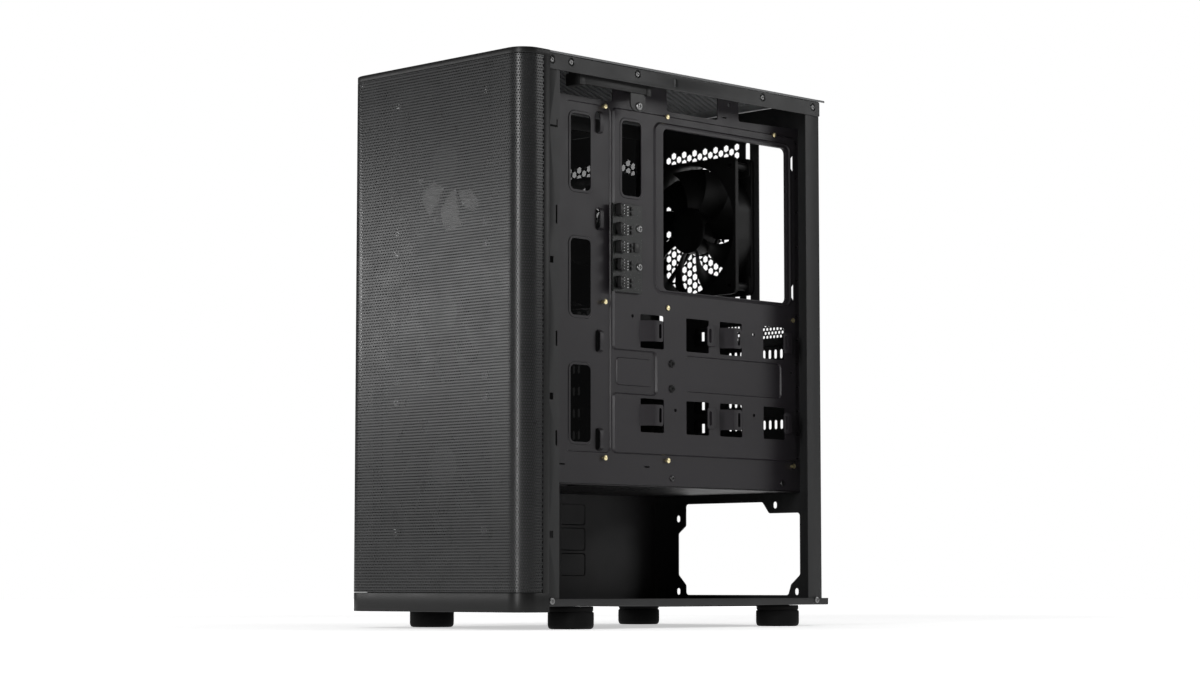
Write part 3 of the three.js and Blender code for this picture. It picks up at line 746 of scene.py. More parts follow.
def rail(name, low, high, places, slot):
    """The flat strip along the open side, with a dimple for each screw and one sunk slot."""
    bm = bmesh.new()
    level = OPEN_SIDE - 0.35
    dimples = [Outline.disc(y, z, DIMPLE, 5) for y, z in places]
    holes = [*dimples, slot.grown(1.2)]
    wall(bm, "x", (slot.grown(1.2), level), (slot, level - 0.7), (slot, level - 2.0))
    flat(bm, "x", level, Outline.rect(front_low.y, REAR_FACE - 0.3, low, high, 0.8), holes)
    for dimple in dimples:
        press(bm, "x", level, dimple, -DIMPLE_DEPTH, slope=0.7)
    thicken(bm, AXES["x"])
    finish(name, bm, STEEL)
    screws(name + "_screws", "x", [(y, z, level - DIMPLE_DEPTH) for y, z in places], 2.2, 1.5,
           RAIL_SCREW)


roof()
rail("top_rail", top_high.z - 14.6, top_high.z - LIP - 0.2, RAIL_SCREWS,
     Outline.rect(-8.0, -4.0, 436.8, 443.8, 1.15, 3))
glass_rail = bmesh.new()
for low, high in ((top_low.z, top_high.z - LIP), (base_low.z, base_high.z)):
    block(glass_rail, (GLASS_SIDE, front_low.y, low), (GLASS_SIDE + SHEET, REAR_FACE - 0.3, high),
          0.2)
finish("glass_side_rails", glass_rail, STEEL, closed=True)


# ---- base ----
def base():
    bm = bmesh.new()
    level = base_low.z
    intake = vents(bm, "z", level, (-54, 54), (14, 150), FLOOR_CELL, FLOOR_HOLE)
    flat(bm, "z", level, Outline.rect(GLASS_SIDE + 0.9, OPEN_SIDE + 5.0, base_low.y, base_high.y),
         [Outline.disc(82, -106.8, 2.4), Outline.disc(82, 136.5, 2.4)], [intake])
    merge(bm)
    fold(bm, "Y", (1, 0, 0), (OPEN_SIDE - 1.2, 0, level), math.radians(-90), 1.0)
    thicken(bm, (0, 0, -1))
    finish("base_sheet", bm, STEEL, nodes=["base_panel"])
    screws("base_rail_screws", "x", [(y, z, OPEN_SIDE) for y, z in BASE_SCREWS], 2.6, 1.0,
           RAIL_SCREW)


base()


# ---- rear panel ----
HEX_CELL = (7.4, 6.35)
HEX_HOLE = 3.35
PSU_CORNER = (-65.5, 28.7)
PSU_OPENING = ((9, -3), (128.5, -3), (131.7, 6), (141.9, 14.3), (141.9, 67), (107.1, 67),
               (99.6, 76.7), (9, 76.7), (9, 57.6), (0, 50.9), (0, 14.5), (9, 5.5))
PSU_SCREWS = ((0, 0), (138, 0), (0, 64), (114, 74))
FAN_SCREWS = 52.5
REAR_FLANGE = 17.5


def rear():
    bm, level = bmesh.new(), REAR_FACE
    fan = centre_of("rear_fan_frame")
    edge_x, top = rear_high.x, rear_high.z
    columns = staggered((270.0, 425.2), (fan.x - 46.2, fan.x + 46.4), HEX_CELL)
    field = perforate(bm, "x", level, columns, HEX_CELL, polygon(HEX_HOLE, 6, 0.0))
    bmesh.ops.rotate(bm, verts=bm.verts[:], cent=(0, 0, 0),
                     matrix=Matrix(((0, 0, 1), (1, 0, 0), (0, 1, 0))))
    slots = [centre_of(f"slot_cover_{i + 1}").z for i in range(7)]
    holes = [Outline.of([(PSU_CORNER[0] + x, PSU_CORNER[1] + z) for x, z in PSU_OPENING], 2.6, 3),
             Outline.rect(31.55, 76.0, 261.8, 420.5, 0.8, 2)]
    holes += [Outline.rect(-46.0, 70.0, z - 7.15, z + 7.15, 1.0, 2) for z in slots]
    holes += [Outline.rect(PSU_CORNER[0] + x - 2.1, PSU_CORNER[0] + x + 2.1,
                           PSU_CORNER[1] + z - 3, PSU_CORNER[1] + z + 3, 2.0, 3)
              for x, z in PSU_SCREWS]
    for x in (fan.x - FAN_SCREWS, fan.x + FAN_SCREWS):
        for z in (267.0, 391.0):
            holes.append(Outline.rect(x - 2.6, x + 2.6, z + 2.0, z + 30.0, 2.5, 3))
    run = REAR_FLANGE - 0.4
    flat(bm, "y", level, Outline.rect(rear_low.x - run, edge_x + run, rear_low.z, top),
         holes, [field])
    merge(bm)
    flange_sides(bm, rear_low.x, edge_x, level, -1)
    thicken(bm, AXES["y"])
    finish("rear_sheet", bm, STEEL, nodes=["rear_panel"])


rear()


# ---- expansion slot covers and the rail that holds them ----
COVER_SLOT = (3.3, 8.0)
COVER_PITCH = 6.6
COVER_FIRST = -4.6
FINE_CELL, FINE_HOLE = (3.9, 3.4), 1.55


def slot_cover(index):
    node = f"slot_cover_{index + 1}"
    low, high = box(node)
    bm = bmesh.new()
    z, level = (low.z + high.z) / 2, low.y
    slots = [Outline.rect(-38.7, -35.0, z - COVER_SLOT[1] / 2, z + COVER_SLOT[1] / 2)]
    field = []
    if index:
        slots += [Outline.rect(x - COVER_SLOT[0] / 2, x + COVER_SLOT[0] / 2,
                               z - COVER_SLOT[1] / 2, z + COVER_SLOT[1] / 2, 1.5, 3)
                  for x in (COVER_FIRST + COVER_PITCH * i for i in range(11))]
    else:
        field = [vents(bm, "y", level, (-10, 66), (z - 6.8, z + 6.8), FINE_CELL, FINE_HOLE)]
    flat(bm, "y", level, Outline.rect(low.x - high.y + level + 1.6, high.x, low.z, high.z, 1.0, 2),
         slots, field)
    merge(bm)
    fold(bm, "Z", (-1, 0, 0), (low.x + 1.2, level, 0), math.radians(-90), 0.8)
    thicken(bm, (0, -1, 0))
    finish(node + "_sheet", bm, STEEL, nodes=[node])


def slot_rail():
    low, high = box("slot_screw_rail")
    bm = bmesh.new()
    places = [centre_of(f"slot_cover_{i + 1}").z for i in range(7)]
    flat(bm, "y", low.y, Outline.rect(low.x, high.x, low.z, high.z, 1.0, 2),
         [Outline.disc(low.x + 4.8, z, 1.6, 4) for z in places])
    thicken(bm, (0, -1, 0))
    finish("slot_rail_sheet", bm, STEEL, nodes=["slot_screw_rail"])
    screws("slot_rail_screws", "y", [(low.x + 4.8, z, low.y + SHEET) for z in places], 3.4, 2.6,
           SCREW)


for i in range(7):
    slot_cover(i)
slot_rail()


# ---- front frame ----
FAN_NODES = ("front_fan_1", "front_fan_2", "front_fan_3")
FLANGE_NOTCHES = ((312, 329), (217, 231), (140, 154))
CATCHES = (284.9, 179.0, 72.9)
FRONT_FLANGE = 13.0


def front():
    bm = bmesh.new()
    level, edge_x = front_low.y, front_high.x
    start = edge_x - 0.35
    run = FRONT_FLANGE - 0.35

    def at(depth):
        return start + depth

    edge = [(front_low.x - run, front_low.z), (at(run), front_low.z)]
    for low, high in reversed(FLANGE_NOTCHES):
        edge += [(at(run), low), (at(run - 4.3), low + 1.5), (at(run - 4.3), high - 1.5),
                 (at(run), high)]
    edge += [(at(run), 388.5), (at(2.0), 388.5), (at(2.0), 390.2), (at(run - 3.5), 390.2),
             (at(run - 3.5), 395.0), (at(run), 395.0)]
    edge += [(at(run), front_high.z), (front_low.x - run, front_high.z)]
    holes = []
    for name in FAN_NODES:
        fan = centre_of(name + "_frame")
        holes.append(Outline.disc(fan.x, fan.z, 57.4, 10))
        holes += [Outline.rect(fan.x + i * FAN_SCREWS - 2, fan.x + i * FAN_SCREWS + 2,
                               fan.z + j * FAN_SCREWS - 3.4, fan.z + j * FAN_SCREWS + 3.4, 1.9, 3)
                  for i in (-1, 1) for j in (-1, 1)]
    holes += [Outline.rect(at(2.2), at(5.9), z - 2.7, z + 2.7) for z in CATCHES]
    flat(bm, "y", level, Outline.of(edge), holes)
    flange_sides(bm, front_low.x, edge_x, level, 1)
    thicken(bm, (0, -1, 0))
    finish("front_frame_sheet", bm, STEEL, nodes=["front_frame"])
    fans = [centre_of(name + "_frame") for name in FAN_NODES]
    places = [(fan.x + i * FAN_SCREWS, fan.z + j * FAN_SCREWS, level)
              for fan in fans for i in (-1, 1) for j in (-1, 1)]
    screws("front_fan_screws", "y", places, 3.9, 2.0, PLATED, way=-1)


front()


# ---- power supply shroud ----
def shroud():
    bm = bmesh.new()
    level = shelf_high.z
    low, high = shelf_low, shelf_high
    field = vents(bm, "z", level, (-70, 40), (-80, 40), FLOOR_CELL, ROOF_HOLE)
    flat(bm, "z", level, Outline.rect(low.x + 0.4, high.x, low.y + 3.0, high.y),
         [Outline.rect(48, 66, -108, -78, 3.0)], [field])
    merge(bm)
    fold(bm, "X", (0, -1, 0), (0, low.y + 4.0, level), math.radians(90), 0.8)
    thicken(bm, AXES["z"])
    finish("shroud_shelf", bm, INNER_STEEL_PAINTED_SHADE, nodes=["psu_shroud"])
    side = bmesh.new()
    bays = [Outline.rect(54.5, 85.0, z0, z1, 3.0) for z0, z1 in ((86, 104.5), (64, 84), (42, 62))]
    flat(side, "x", low.x + SHEET, Outline.rect(low.y, high.y, low.z, level - 1.0), bays)
    for bay in bays:
        press(side, "x", low.x + SHEET, bay, -0.7, slope=0.9)
    thicken(side, AXES["x"], 0.7)
    finish("shroud_wall", side, INNER_STEEL_PAINTED_SHADE)


shroud()


# ---- fans ----
FAN_HALF = 60.0
BORE = 57.4
DUCT, FLUSH = 61.7, FAN_HALF - 0.3
BLADE_COUNT, BLADE_ROOT, BLADE_TIP_GAP = 9, 18.5, 1.6
BLADE_STATIONS, BLADE_STEPS = 7, 12
MOTOR, FLANGE_PLATE, PAD, PAD_PITCH = 21.0, 4.0, 7.5, 51.0


def fan_frame(name):
    (low, high), centre = box(name + "_frame"), centre_of(name + "_frame")
    x, z = centre.x, centre.z
    bm = bmesh.new()
    square = Outline.rect(x - FAN_HALF, x + FAN_HALF, z - FAN_HALF, z + FAN_HALF, 5.5)
    bore = Outline.disc(x, z, BORE, 12)
    bolts = [Outline.disc(x + i * FAN_SCREWS, z + j * FAN_SCREWS, 2.2, 4)
             for i in (-1, 1) for j in (-1, 1)]
    for near, far in ((low.y, low.y + FLANGE_PLATE), (high.y - FLANGE_PLATE, high.y)):
        slab(bm, "y", near, far, square, [bore.grown(0.6), *bolts])
    duct = [(x + max(-FLUSH, min(FLUSH, DUCT * math.cos(math.tau * k / 72))),
             z + max(-FLUSH, min(FLUSH, DUCT * math.sin(math.tau * k / 72)))) for k in range(72)]
    wall(bm, "y", (duct, low.y + 3.5), (duct, high.y - 3.5))
    wall(bm, "y", (bore.grown(0.6), low.y), (bore, low.y + 2.0), (bore, high.y - 2.0),
         (bore.grown(0.6), high.y))
    for i in (-1, 1):
        for j in (-1, 1):
            pad_x, pad_z = x + i * PAD_PITCH, z + j * PAD_PITCH
            pad = Outline.rect(pad_x - PAD, pad_x + PAD, pad_z - PAD, pad_z + PAD, 3.0)
            slab(bm, "y", high.y - 5.0, high.y - 3.4, pad, bevel=0.4)
            post = Outline.disc(x + i * FAN_SCREWS, z + j * FAN_SCREWS, 3.9, 4)
            wall(bm, "y", (post, low.y + 3.8), (post, high.y - 3.8))
    slab(bm, "y", high.y - 3.6, high.y - 0.2, Outline.disc(x, z, MOTOR, 8), bevel=0.6)
    for k in range(4):
        strut = bmesh.new()
        block(strut, (19.0, high.y - 3.4, -1.9), (BORE + 1.0, high.y - 0.4, 1.9), 0.5)
        bmesh.ops.rotate(strut, verts=strut.verts[:], cent=(0, 0, 0),
                         matrix=Matrix.Rotation(math.radians(45 + 90 * k), 3, "Y"))
        bmesh.ops.translate(strut, vec=(x, 0, z), verts=strut.verts[:])
        absorb(bm, strut)
    finish(name + "_housing", bm, FAN_PLASTIC, nodes=[name + "_frame"], closed=True)


def fan_blade(bm, centre, near, far):
    """One swept, twisted blade, lofted from the hub to the tip."""
    x, z = centre
    sections = []
    for k in range(BLADE_STATIONS):
        part = k / (BLADE_STATIONS - 1)
        radius = BLADE_ROOT + part * (BORE - BLADE_TIP_GAP - BLADE_ROOT)
        chord = 17.0 + 17.0 * part
        pitch = -math.radians(46 - 20 * part)
        sweep = 0.30 * part * part - 0.06
        thick = 1.5 - 0.7 * part
        points = []
        for step in range(BLADE_STEPS):
            turn = math.tau * step / BLADE_STEPS
            along = math.cos(turn)
            across = math.sin(turn) * thick * 0.55 + 1.8 * (1 - along * along)
            tangent = along * chord / 2 * math.cos(pitch) - across * math.sin(pitch)
            depth = along * chord / 2 * math.sin(pitch) + across * math.cos(pitch)
            angle = sweep + tangent / radius
            points.append(Vector((x + radius * math.cos(angle), (near + far) / 2 + depth,
                                  z + radius * math.sin(angle))))
        verts = [bm.verts.new(p) for p in points]
        sections.append([bm.edges.new((verts[i - 1], verts[i])) for i in range(BLADE_STEPS)])
    for a, b in zip(sections, sections[1:]):
        bmesh.ops.bridge_loops(bm, edges=a + b)
    for end in (sections[0], sections[-1]):
        bmesh.ops.contextual_create(bm, geom=end)


def fan_rotor(name, body):
    (low, high), centre = box(name + "_rotor"), centre_of(name + "_rotor")
    x, z = centre.x, centre.z
    bm = bmesh.new()
    fan_blade(bm, (x, z), low.y + 1.0, high.y - 1.0)
    blade = bm.verts[:] + bm.edges[:] + bm.faces[:]
    for k in range(1, BLADE_COUNT):
        copy = bmesh.ops.duplicate(bm, geom=blade)["geom"]
        bmesh.ops.rotate(bm, verts=verts_of(copy), cent=(x, 0, z),
                         matrix=Matrix.Rotation(math.tau * k / BLADE_COUNT, 3, "Y"))
    turned(bm, "y", (x, low.y, z),
           [(0, 0), (16.5, 0), (19.0, 0.5), (20.0, 1.6), (20.0, 17.5), (0, 17.5)], 48)
    finish(name + "_blades", bm, BLADE_PLASTIC, body, [name + "_rotor"],
           closed=True, angle=40)
    if name in FAN_NODES:
        label = bmesh.new()
        turned(label, "y", (x, low.y, z),
               [(0, -0.15), (14.8, -0.15), (15.0, 0.0), (15.0, 0.3), (0, 0.3)], 40)
        finish(name + "_hub_label", label, LABEL, body,
               closed=True)


for index, name in enumerate(FAN_NODES):
    fan_frame(name)
    fan_rotor(name, f"front_rotor_{index + 1}")
fan_frame("rear_fan")
fan_rotor("rear_fan", "rear_rotor")


# ---- bezel ----
CORNER = 16.3
BEZEL_WALL = 2.4
HOLE_ACROSS, HOLE_UP = 1.95, 2.3
HOLE_RADIUS = 0.7
MESH_SHEET, MESH_PIECES = 0.4, 6
BACKING_WINDOW = (-71.5, 68.1, 69.0, 441.0)


MESH_FRONT = mesh_high.x - CORNER
MESH_ARC = CORNER * math.pi / 2
MESH_HALF = MESH_FRONT + MESH_ARC + mesh_high.y - (mesh_low.y + CORNER)
LINER_GAP, LINER_SHEET = 1.4, 0.9


def bezel_plan(back, inset=0.0, steps=10):
    half, front_y = bezel_high.x - inset, bezel_low.y + inset
    return Outline([(-half, front_y, CORNER - inset), (half, front_y, CORNER - inset),
                    (half, back, 0.0), (-half, back, 0.0)], steps)


def bezel_shell():
    bm = bmesh.new()
    back, base_z, top_z = bezel_high.y, bezel_low.z, bezel_high.z
    for low, high in ((base_z, mesh_low.z - 0.3), (mesh_high.z + 0.3, top_z)):
        outer, eased = bezel_plan(back), bezel_plan(back - 0.5, 0.5)
        flat(bm, "z", low, eased)
        flat(bm, "z", high, eased)
        wall(bm, "z", (eased, low), (bezel_plan(back - 0.15, 0.15), low + 0.25),
             (outer, low + 0.7), (outer, high - 0.7), (bezel_plan(back - 0.15, 0.15), high - 0.25),
             (eased, high))
    window = Outline.rect(-92.0, 48.0, 69.0, 441.0, 3.0)
    slab(bm, "y", back - BEZEL_WALL, back,
         Outline.rect(-bezel_high.x + 1.5, bezel_high.x - 1.5, mesh_low.z - 1, mesh_high.z + 1),
         [window])
    for side in (-1, 1):
        x0, x1 = sorted((side * bezel_high.x, side * (bezel_high.x - BEZEL_WALL)))
        block(bm, (x0, mesh_high.y + 0.3, mesh_low.z - 1), (x1, back, mesh_high.z + 1), 0.35)
    finish("bezel_moulding", bm, BEZEL, "bezel", ["bezel_shell"],
           closed=True)
    clips = bmesh.new()
    for z in (72.9, 179.0, 284.9, 400.0):
        block(clips, (bezel_high.x - 6.2, back - 1.0, z - 2.2),
              (bezel_high.x - 4.4, back + 3.4, z + 2.2), 0.4)
    finish("bezel_clips", clips, BEZEL, "bezel", closed=True)


def wrap(bm, inset=0.0):
    """Bends a sheet laid out flat across the front round both front corners."""
    for v in bm.verts:
        along = abs(v.co.x)
        turn = min(max(along - MESH_FRONT, 0.0), MESH_ARC) / CORNER
        past = max(along - MESH_FRONT - MESH_ARC, 0.0)
        reach = min(along, MESH_FRONT) + (CORNER - inset) * math.sin(turn)
        v.co.x = math.copysign(reach, v.co.x)
        v.co.y = mesh_low.y + CORNER - (CORNER - inset) * math.cos(turn) + past


def face_front(bm):
    bmesh.ops.recalc_face_normals(bm, faces=bm.faces[:])
    foremost = min(bm.faces, key=lambda f: f.calc_center_median().y)
    if foremost.normal.y > 0:
        bmesh.ops.reverse_faces(bm, faces=bm.faces[:])


def bezel_backing():
    """The moulded liner just behind the mesh, open over the fans."""
    bm = bmesh.new()
    u0, u1, v0, v1 = BACKING_WINDOW
    flat(bm, "y", 0.0, Outline.rect(-MESH_FRONT, MESH_HALF, mesh_low.z, mesh_high.z),
         [Outline.rect(u0, u1, v0, v1, 3.0)])
    start = MESH_FRONT + MESH_ARC / 2
    for i in range(-8, 9):
        for side in (-1, 1):
            bmesh.ops.bisect_plane(bm, geom=bm.verts[:] + bm.edges[:] + bm.faces[:], dist=1e-4,
                                   plane_co=(side * (start + i * 1.6), 0, 0),
                                   plane_no=(1, 0, 0))
    wrap(bm, LINER_GAP)
    for v in bm.verts:
        if abs(v.co.x) < MESH_FRONT + 1e-3:
            v.co.y = mesh_low.y + LINER_GAP
    face_front(bm)
    bmesh.ops.solidify(bm, geom=bm.faces[:], thickness=LINER_SHEET)
    finish("bezel_liner", bm, LINER, "bezel")


def bezel_mesh():
    """Perforated sheet, laid out flat and then wrapped round both front corners."""
    columns = round(2 * MESH_HALF / HOLE_ACROSS)
    across = 2 * MESH_HALF / columns
    count = int((mesh_high.z - mesh_low.z) / HOLE_UP)
    up = (mesh_high.z - mesh_low.z) / count
    for k in range(MESH_PIECES):
        first, last = count * k // MESH_PIECES, count * (k + 1) // MESH_PIECES
        rows = []
        for j in range(first, last):
            shift, places = (0.5, columns) if j % 2 else (1.0, columns - 1)
            rows.append((mesh_low.z + up * first + up * (j - first + 0.5),
                         [-MESH_HALF + across * (i + shift) for i in range(places)]))
        bm = bmesh.new()
        perforate(bm, "y", 0.0, rows, (across, up), polygon(HOLE_RADIUS, 6, math.radians(30)))
        wrap(bm)
        face_front(bm)
        bmesh.ops.solidify(bm, geom=bm.faces[:], thickness=MESH_SHEET)
        finish(f"bezel_mesh_{k + 1}", bm, MESH_STEEL, "bezel", ["bezel_mesh"])


bezel_shell()
bezel_backing()
bezel_mesh()


# ---- stand-offs, fan hub, front module ----
STANDOFF_HEX = 3.1
STANDOFF_SCREW = ((0, -2.4), (1.5, -2.4), (1.5, 0.5), (2.1, 0.5), (2.1, 0.9), (1.4, 1.3), (0, 1.3))


def standoff(name):
    """A hexagonal post behind the tray and its threaded end in front."""
    low, middle = box(name)[0], centre_of(name)
    bm = bmesh.new()
    hexagon = [(middle.y + u, middle.z + v) for u, v in polygon(STANDOFF_HEX, 6)]
    slab(bm, "x", low.x, TRAY_FACE - SHEET - 0.3, Outline.of(hexagon, 0.2, 2))
    turned(bm, "x", (TRAY_FACE + RAISED, middle.y, middle.z), STANDOFF_SCREW, 16)
    finish(name + "_turned", bm, BRASS, nodes=[name], closed=True)


for i in range(9):
    standoff(f"standoff_{i + 1}")


HUB_SCREW_Y, HUB_SCREW_Z = -29.5, (320.5, 289.4)
PIN_PITCH, PIN_HALF = 2.54 * 0.9, 0.32


def fan_hub():
    low, high = box("fan_hub_board")
    bm = bmesh.new()
    slab(bm, "x", low.x, high.x, Outline.rect(low.y, high.y, low.z, high.z, 1.0),
         [Outline.disc(HUB_SCREW_Y, z, 1.7, 4) for z in HUB_SCREW_Z], 0.15)
    finish("hub_circuit_board", bm, BOARD, nodes=["fan_hub_board"],
           closed=True)
    fixings, pins, parts = bmesh.new(), bmesh.new(), bmesh.new()
    for z in HUB_SCREW_Z:
        screw_head(fixings, "x", (HUB_SCREW_Y, z, high.x), 3.0, 1.6)
        turned(fixings, "x", (TRAY_FACE + RAISED, HUB_SCREW_Y, z),
               [(0, 0), (2.4, 0), (2.4, low.x - TRAY_FACE - RAISED), (0, 1.2)], 16)
    for i in range(5):
        head_low, head_high = box(f"fan_header_{i + 1}")
        z = (head_low.z + head_high.z) / 2
        block(parts, (head_low.x, head_low.y, head_low.z + 0.3),
              (head_low.x + 2.4, head_high.y, head_high.z - 0.3), 0.2)
        block(parts, (head_low.x, head_low.y, head_low.z + 0.3),
              (head_high.x, head_low.y + 1.3, head_high.z - 0.3), 0.2)
        for side in (head_low.z + 0.3, head_high.z - 1.3):
            block(parts, (head_low.x, head_low.y, side), (head_high.x, head_low.y + 3.2, side + 1.0),
                  0.15)
        for k in range(4):
            at = z + (k - 1.5) * PIN_PITCH
            block(pins, (head_low.x + 2.2, head_low.y + 4.2, at - PIN_HALF),
                  (head_high.x - 0.3, head_low.y + 4.84, at + PIN_HALF), 0.08, 1)
            turned(pins, "x", (high.x, -42.5, at), [(0, 0), (0.65, 0), (0.4, 0.35), (0, 0.45)], 8)
        for start in (z - 3.4, z + 0.6):
            block(parts, (high.x + 0.02, -39.5, start), (high.x + 1.1, -37.2, start + 2.8), 0.1)
    block(parts, (high.x + 0.02, -35.8, 301.0), (high.x + 1.4, -30.0, 308.6), 0.15)
    finish("hub_screws", fixings, RAIL_SCREW, closed=True)
    finish("hub_connectors", parts, CONNECTOR,
           nodes=[f"fan_header_{i + 1}" for i in range(5)], closed=True)
    finish("hub_pins", pins, PLATED, closed=True)


fan_hub()


def front_module():
    low, high = box("io_housing")
    bm = bmesh.new()
    x0, x1 = MODULE_X
    middle, floor_z = (x0 + x1) / 2, high.z - 12.0
    ports = {name: box(name) for name in
             ("power_button", "reset_button", "usb_a_port_1", "usb_a_port_2", "usb_c_port",
              "audio_jack")}
    holes = []
    for name, (a, b) in ports.items():
        round_port = name in ("power_button", "reset_button", "audio_jack")
        radius = (b.x - a.x) / 2 + 0.2 if round_port else (1.7 if name == "usb_c_port" else 0.8)
        holes.append(Outline.rect(a.x - 0.2, b.x + 0.2, a.y - 0.2, b.y + 0.2, radius, 6))
    slab(bm, "z", floor_z, high.z, Outline.rect(x0 + 0.3, x1 - 0.3, -109.7, -25.3, 3.0), holes,
         0.35)
    block(bm, (x0 - 2, -108, floor_z - 0.02), (x1 + 1.5, -27, floor_z + 1.2), 0.4)
    for bar, drop in ((x0 + 0.6, 3.6), (x1 - 3.4, 8.6)):
        block(bm, (bar, -109.0, floor_z - drop), (bar + 2.4, -31.0, floor_z + 0.4), 0.5)
    block(bm, (x1 - 5.6, -107.0, floor_z - 6.4), (x1 - 2.6, -33.0, floor_z - 4.0), 0.5)
    block(bm, (x0 + 4.6, -95.0, floor_z - 2.2), (x1 - 5.0, -35.0, floor_z + 0.4), 0.6)
    block(bm, (x0, -110.6, floor_z - 9.4), (x1 - 0.6, -104.2, floor_z + 0.5), 0.6)
    block(bm, (x0 + 1.0, -34.6, floor_z - 9.6), (x1 - 0.4, -29.6, floor_z + 0.3), 0.6)
    tongue = Outline([(-51.6, low.z - 3.2, 6.5), (-34.3, low.z - 3.2, 6.5),
                      (-34.3, floor_z + 0.2, 0.0), (-51.6, floor_z + 0.2, 0.0)], 6)
    slab(bm, "x", x1 - 4.0, x1 - 2.4, tongue, [], 0.3)
    finish("front_module_housing", bm, MODULE_PLASTIC, nodes=["io_housing"], closed=True)
    screws("front_module_screw", "x", [(-42.2, low.z + 1.2, x1 - 2.4)], 3.3, 1.6, RAIL_SCREW)
    for name, body in (("power_button", "power_button_body"), ("reset_button", "reset_button_body")):
        a, b = ports[name]
        radius = (b.x - a.x) / 2
        cap = bmesh.new()
        turned(cap, "z", (middle, (a.y + b.y) / 2, a.z),
               [(0, 0), (radius, 0), (radius, b.z - a.z - 0.5), (radius - 0.25, b.z - a.z - 0.1),
                (radius - 0.7, b.z - a.z), (radius * 0.6, b.z - a.z - 0.25), (0, b.z - a.z - 0.45)])
        finish(name + "_cap", cap, MODULE_PLASTIC, body, [name], closed=True)


front_module()


# ---- feet, glass fittings and filters ----
def foot(name):
    low, high = box(name)
    radius, tall = (high.x - low.x) / 2, high.z - low.z
    centre = ((low.x + high.x) / 2, (low.y + high.y) / 2, low.z)
    bm = bmesh.new()
    turned(bm, "z", centre,
           [(0, 0.8), (radius - 5.5, 0.8), (radius - 5.0, 0), (radius - 2.6, 0),
            (radius - 1.2, 0.5), (radius - 0.4, 1.6), (radius, 3.4), (radius, tall * 0.72),
            (radius - 0.5, tall * 0.75), (radius - 1.0, tall * 0.76), (radius - 1.0, tall * 0.80),
            (radius - 0.4, tall * 0.82), (radius - 0.4, tall - 0.6), (radius - 0.9, tall),
            (0, tall)], 64)
    finish(name + "_rubber", bm, RUBBER, nodes=[name], closed=True,
           angle=50)


for name in ("foot_front_left", "foot_front_right", "foot_rear_left", "foot_rear_right"):
    foot(name)


def thumbscrew(name):
    """A knurled head: short ribs round a turned core."""
    low, high = box(name)
    radius = (high.x - low.x) / 2
    x, z = (low.x + high.x) / 2, (low.z + high.z) / 2
    bm = bmesh.new()
    ribs = []
    for k in range(30):
        for part, reach in ((0.0, radius), (0.5, radius - 0.4)):
            angle = math.tau * (k + part) / 30
            ribs.append((x + reach * math.cos(angle), z + reach * math.sin(angle)))
    outline = Outline.of(ribs)
    slab(bm, "y", low.y, high.y, outline, [Outline.disc(x, z, 2.4, 5)], 0.25)
    flat(bm, "y", high.y - 1.4, Outline.disc(x, z, 2.4, 5))
    flat(bm, "y", low.y + 0.2, Outline.disc(x, z, 2.4, 5))
    finish(name + "_knurled", bm, SCREW, "glass_side", [name], closed=True)


for name in ("glass_thumbscrew_1", "glass_thumbscrew_2"):
    thumbscrew(name)


def glass():
    low, high = box("glass_panel")
    bm = bmesh.new()
    slab(bm, "x", low.x, high.x, Outline.rect(low.y, high.y, low.z, high.z, 2.0), [], 0.5)
    finish("glass_sheet", bm, GLASS, "glass_side", ["glass_panel"], closed=True)


def filter_frame(name, body):
    low, high = box(name)
    bm = bmesh.new()
    outer = Outline.rect(low.x, high.x, low.y, high.y, 3.0)
    slab(bm, "z", low.z, high.z, outer, [outer.grown(-5.0)], 0.2)
    finish(name + "_frame", bm, MODULE_PLASTIC, body, [name], closed=True)
    weave = bmesh.new()
    middle = (low.z + high.z) / 2
    flat(weave, "z", middle + 0.1, outer.grown(-4.4))
    thicken(weave, AXES["z"], 0.2)
    finish(name + "_weave", weave, FILTER, body)


glass()
filter_frame("psu_filter", "psu_filter_body")
filter_frame("top_filter", "top_filter_body")


def rivets():
    bm = bmesh.new()
    for y, z in ((11.4, 213.7), (11.4, 193.3)):
        screw_head(bm, "x", (y, z, TRAY_FACE + RAISED), 3.1, 1.5)
    finish("tray_rivets", bm, FAN_PLASTIC, slot="black_plastic", closed=True)
    screws("tray_edge_screws", "x", [(13.5, 120.4, TRAY_FACE), (149.0, 120.0, TRAY_FACE)], 2.3,
           1.2, SCREW)


rivets()

# ---- camera, floor and light ----
CAMERA_PLACE, CAMERA_YAW, CAMERA_PITCH = (1.6523, -1.6521, 0.03355), 44.868, 5.037
LENS, SENSOR = 84.53, 36.0
GLOW_NEAR, GLOW_FAR = 0.9, 2.4
SKY_ON_OBJECT, SKY_SEEN = 0.14, 1.0

camera_data = bpy.data.cameras.new("camera")
camera_data.lens, camera_data.sensor_width = LENS, SENSOR
camera = bpy.data.objects.new("camera", camera_data)
camera.location = CAMERA_PLACE
yaw, pitch = math.radians(CAMERA_YAW), math.radians(CAMERA_PITCH)
facing = Vector((-math.sin(yaw) * math.cos(pitch), math.cos(yaw) * math.cos(pitch),
                 math.sin(pitch)))
camera.rotation_euler = facing.to_track_quat("-Z", "Y").to_euler()
bpy.context.scene.collection.objects.link(camera)
bpy.context.scene.camera = camera


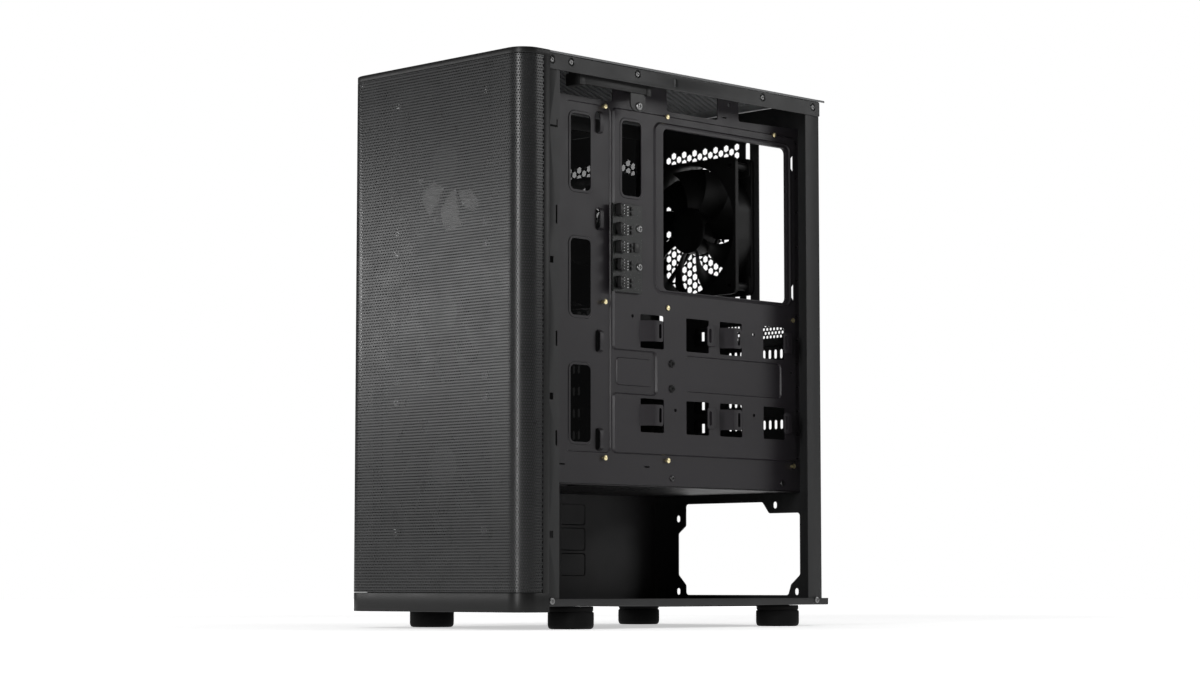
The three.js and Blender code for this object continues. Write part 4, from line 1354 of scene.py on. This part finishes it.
def floor():
    """A pale sheet that glows a little more with distance, so that it has no horizon."""
    bm = bmesh.new()
    bmesh.ops.create_grid(bm, x_segments=1, y_segments=1, size=4.0)
    mesh = bpy.data.meshes.new("floor")
    bm.to_mesh(mesh)
    bm.free()
    paint = Paint("pale_floor", Roughness=0.6, Specular_IOR_Level=0.2)
    reach = paint.node("ShaderNodeVectorMath", {"operation": "LENGTH"}, {0: paint.place},
                       output="Value")
    far = paint.node("ShaderNodeMapRange", {},
                     {"Value": reach, "From Min": GLOW_NEAR, "From Max": GLOW_FAR})
    paint.set(Base_Color=paint.mix(paint.noise(3.0), grey(0.9), grey(0.94)),
              Emission_Color=paint.mix(far, grey(0.5), grey(1.0)), Emission_Strength=1.0)
    mesh.materials.append(paint.material)
    made = bpy.data.objects.new("floor", mesh)
    bpy.context.scene.collection.objects.link(made)


def lamp(name, place, aim, size, watts):
    data = bpy.data.lights.new(name, "AREA")
    data.shape = "RECTANGLE"
    data.size, data.size_y = size
    data.energy = watts
    made = bpy.data.objects.new(name, data)
    made.location = place
    made.rotation_euler = (Vector(aim) - Vector(place)).to_track_quat("-Z", "Y").to_euler()
    made.visible_camera = False
    bpy.context.scene.collection.objects.link(made)


floor()
lamp("overhead_softbox", (0.2, 0.1, 3.0), (0, 0, 0), (3.0, 3.0), 40)
lamp("front_softbox", (-1.9, -1.9, 0.52), (0, -0.15, 0.22), (1.9, 0.2), 14)
lamp("corner_strip", (0.98, -2.84, 0.8), (0.09, -0.17, 0.25), (0.42, 1.5), 46)
lamp("side_softbox", (2.0, 2.0, 1.1), (0.1, 0.0, 0.3), (1.3, 0.8), 13)

world = bpy.data.worlds.new("studio")
world.use_nodes = True
sky = world.node_tree
sky_light = sky.nodes["Background"]
sky_light.inputs["Color"].default_value = (1, 1, 1, 1)
seen = sky.nodes.new("ShaderNodeLightPath")
strength = sky.nodes.new("ShaderNodeMapRange")
strength.inputs["To Min"].default_value = SKY_ON_OBJECT
strength.inputs["To Max"].default_value = SKY_SEEN
sky.links.new(seen.outputs["Is Camera Ray"], strength.inputs["Value"])
sky.links.new(strength.outputs["Result"], sky_light.inputs["Strength"])
bpy.context.scene.world = world
bpy.context.scene.view_settings.view_transform = "Standard"

PLATED_NODES = ("usb_a_port_1", "usb_a_port_2", "usb_c_port", "audio_jack")
for name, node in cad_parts.items():
    if not node.hide_render:
        node.data.materials.clear()
        node.data.materials.append((PLATED if name in PLATED_NODES else STEEL).material)
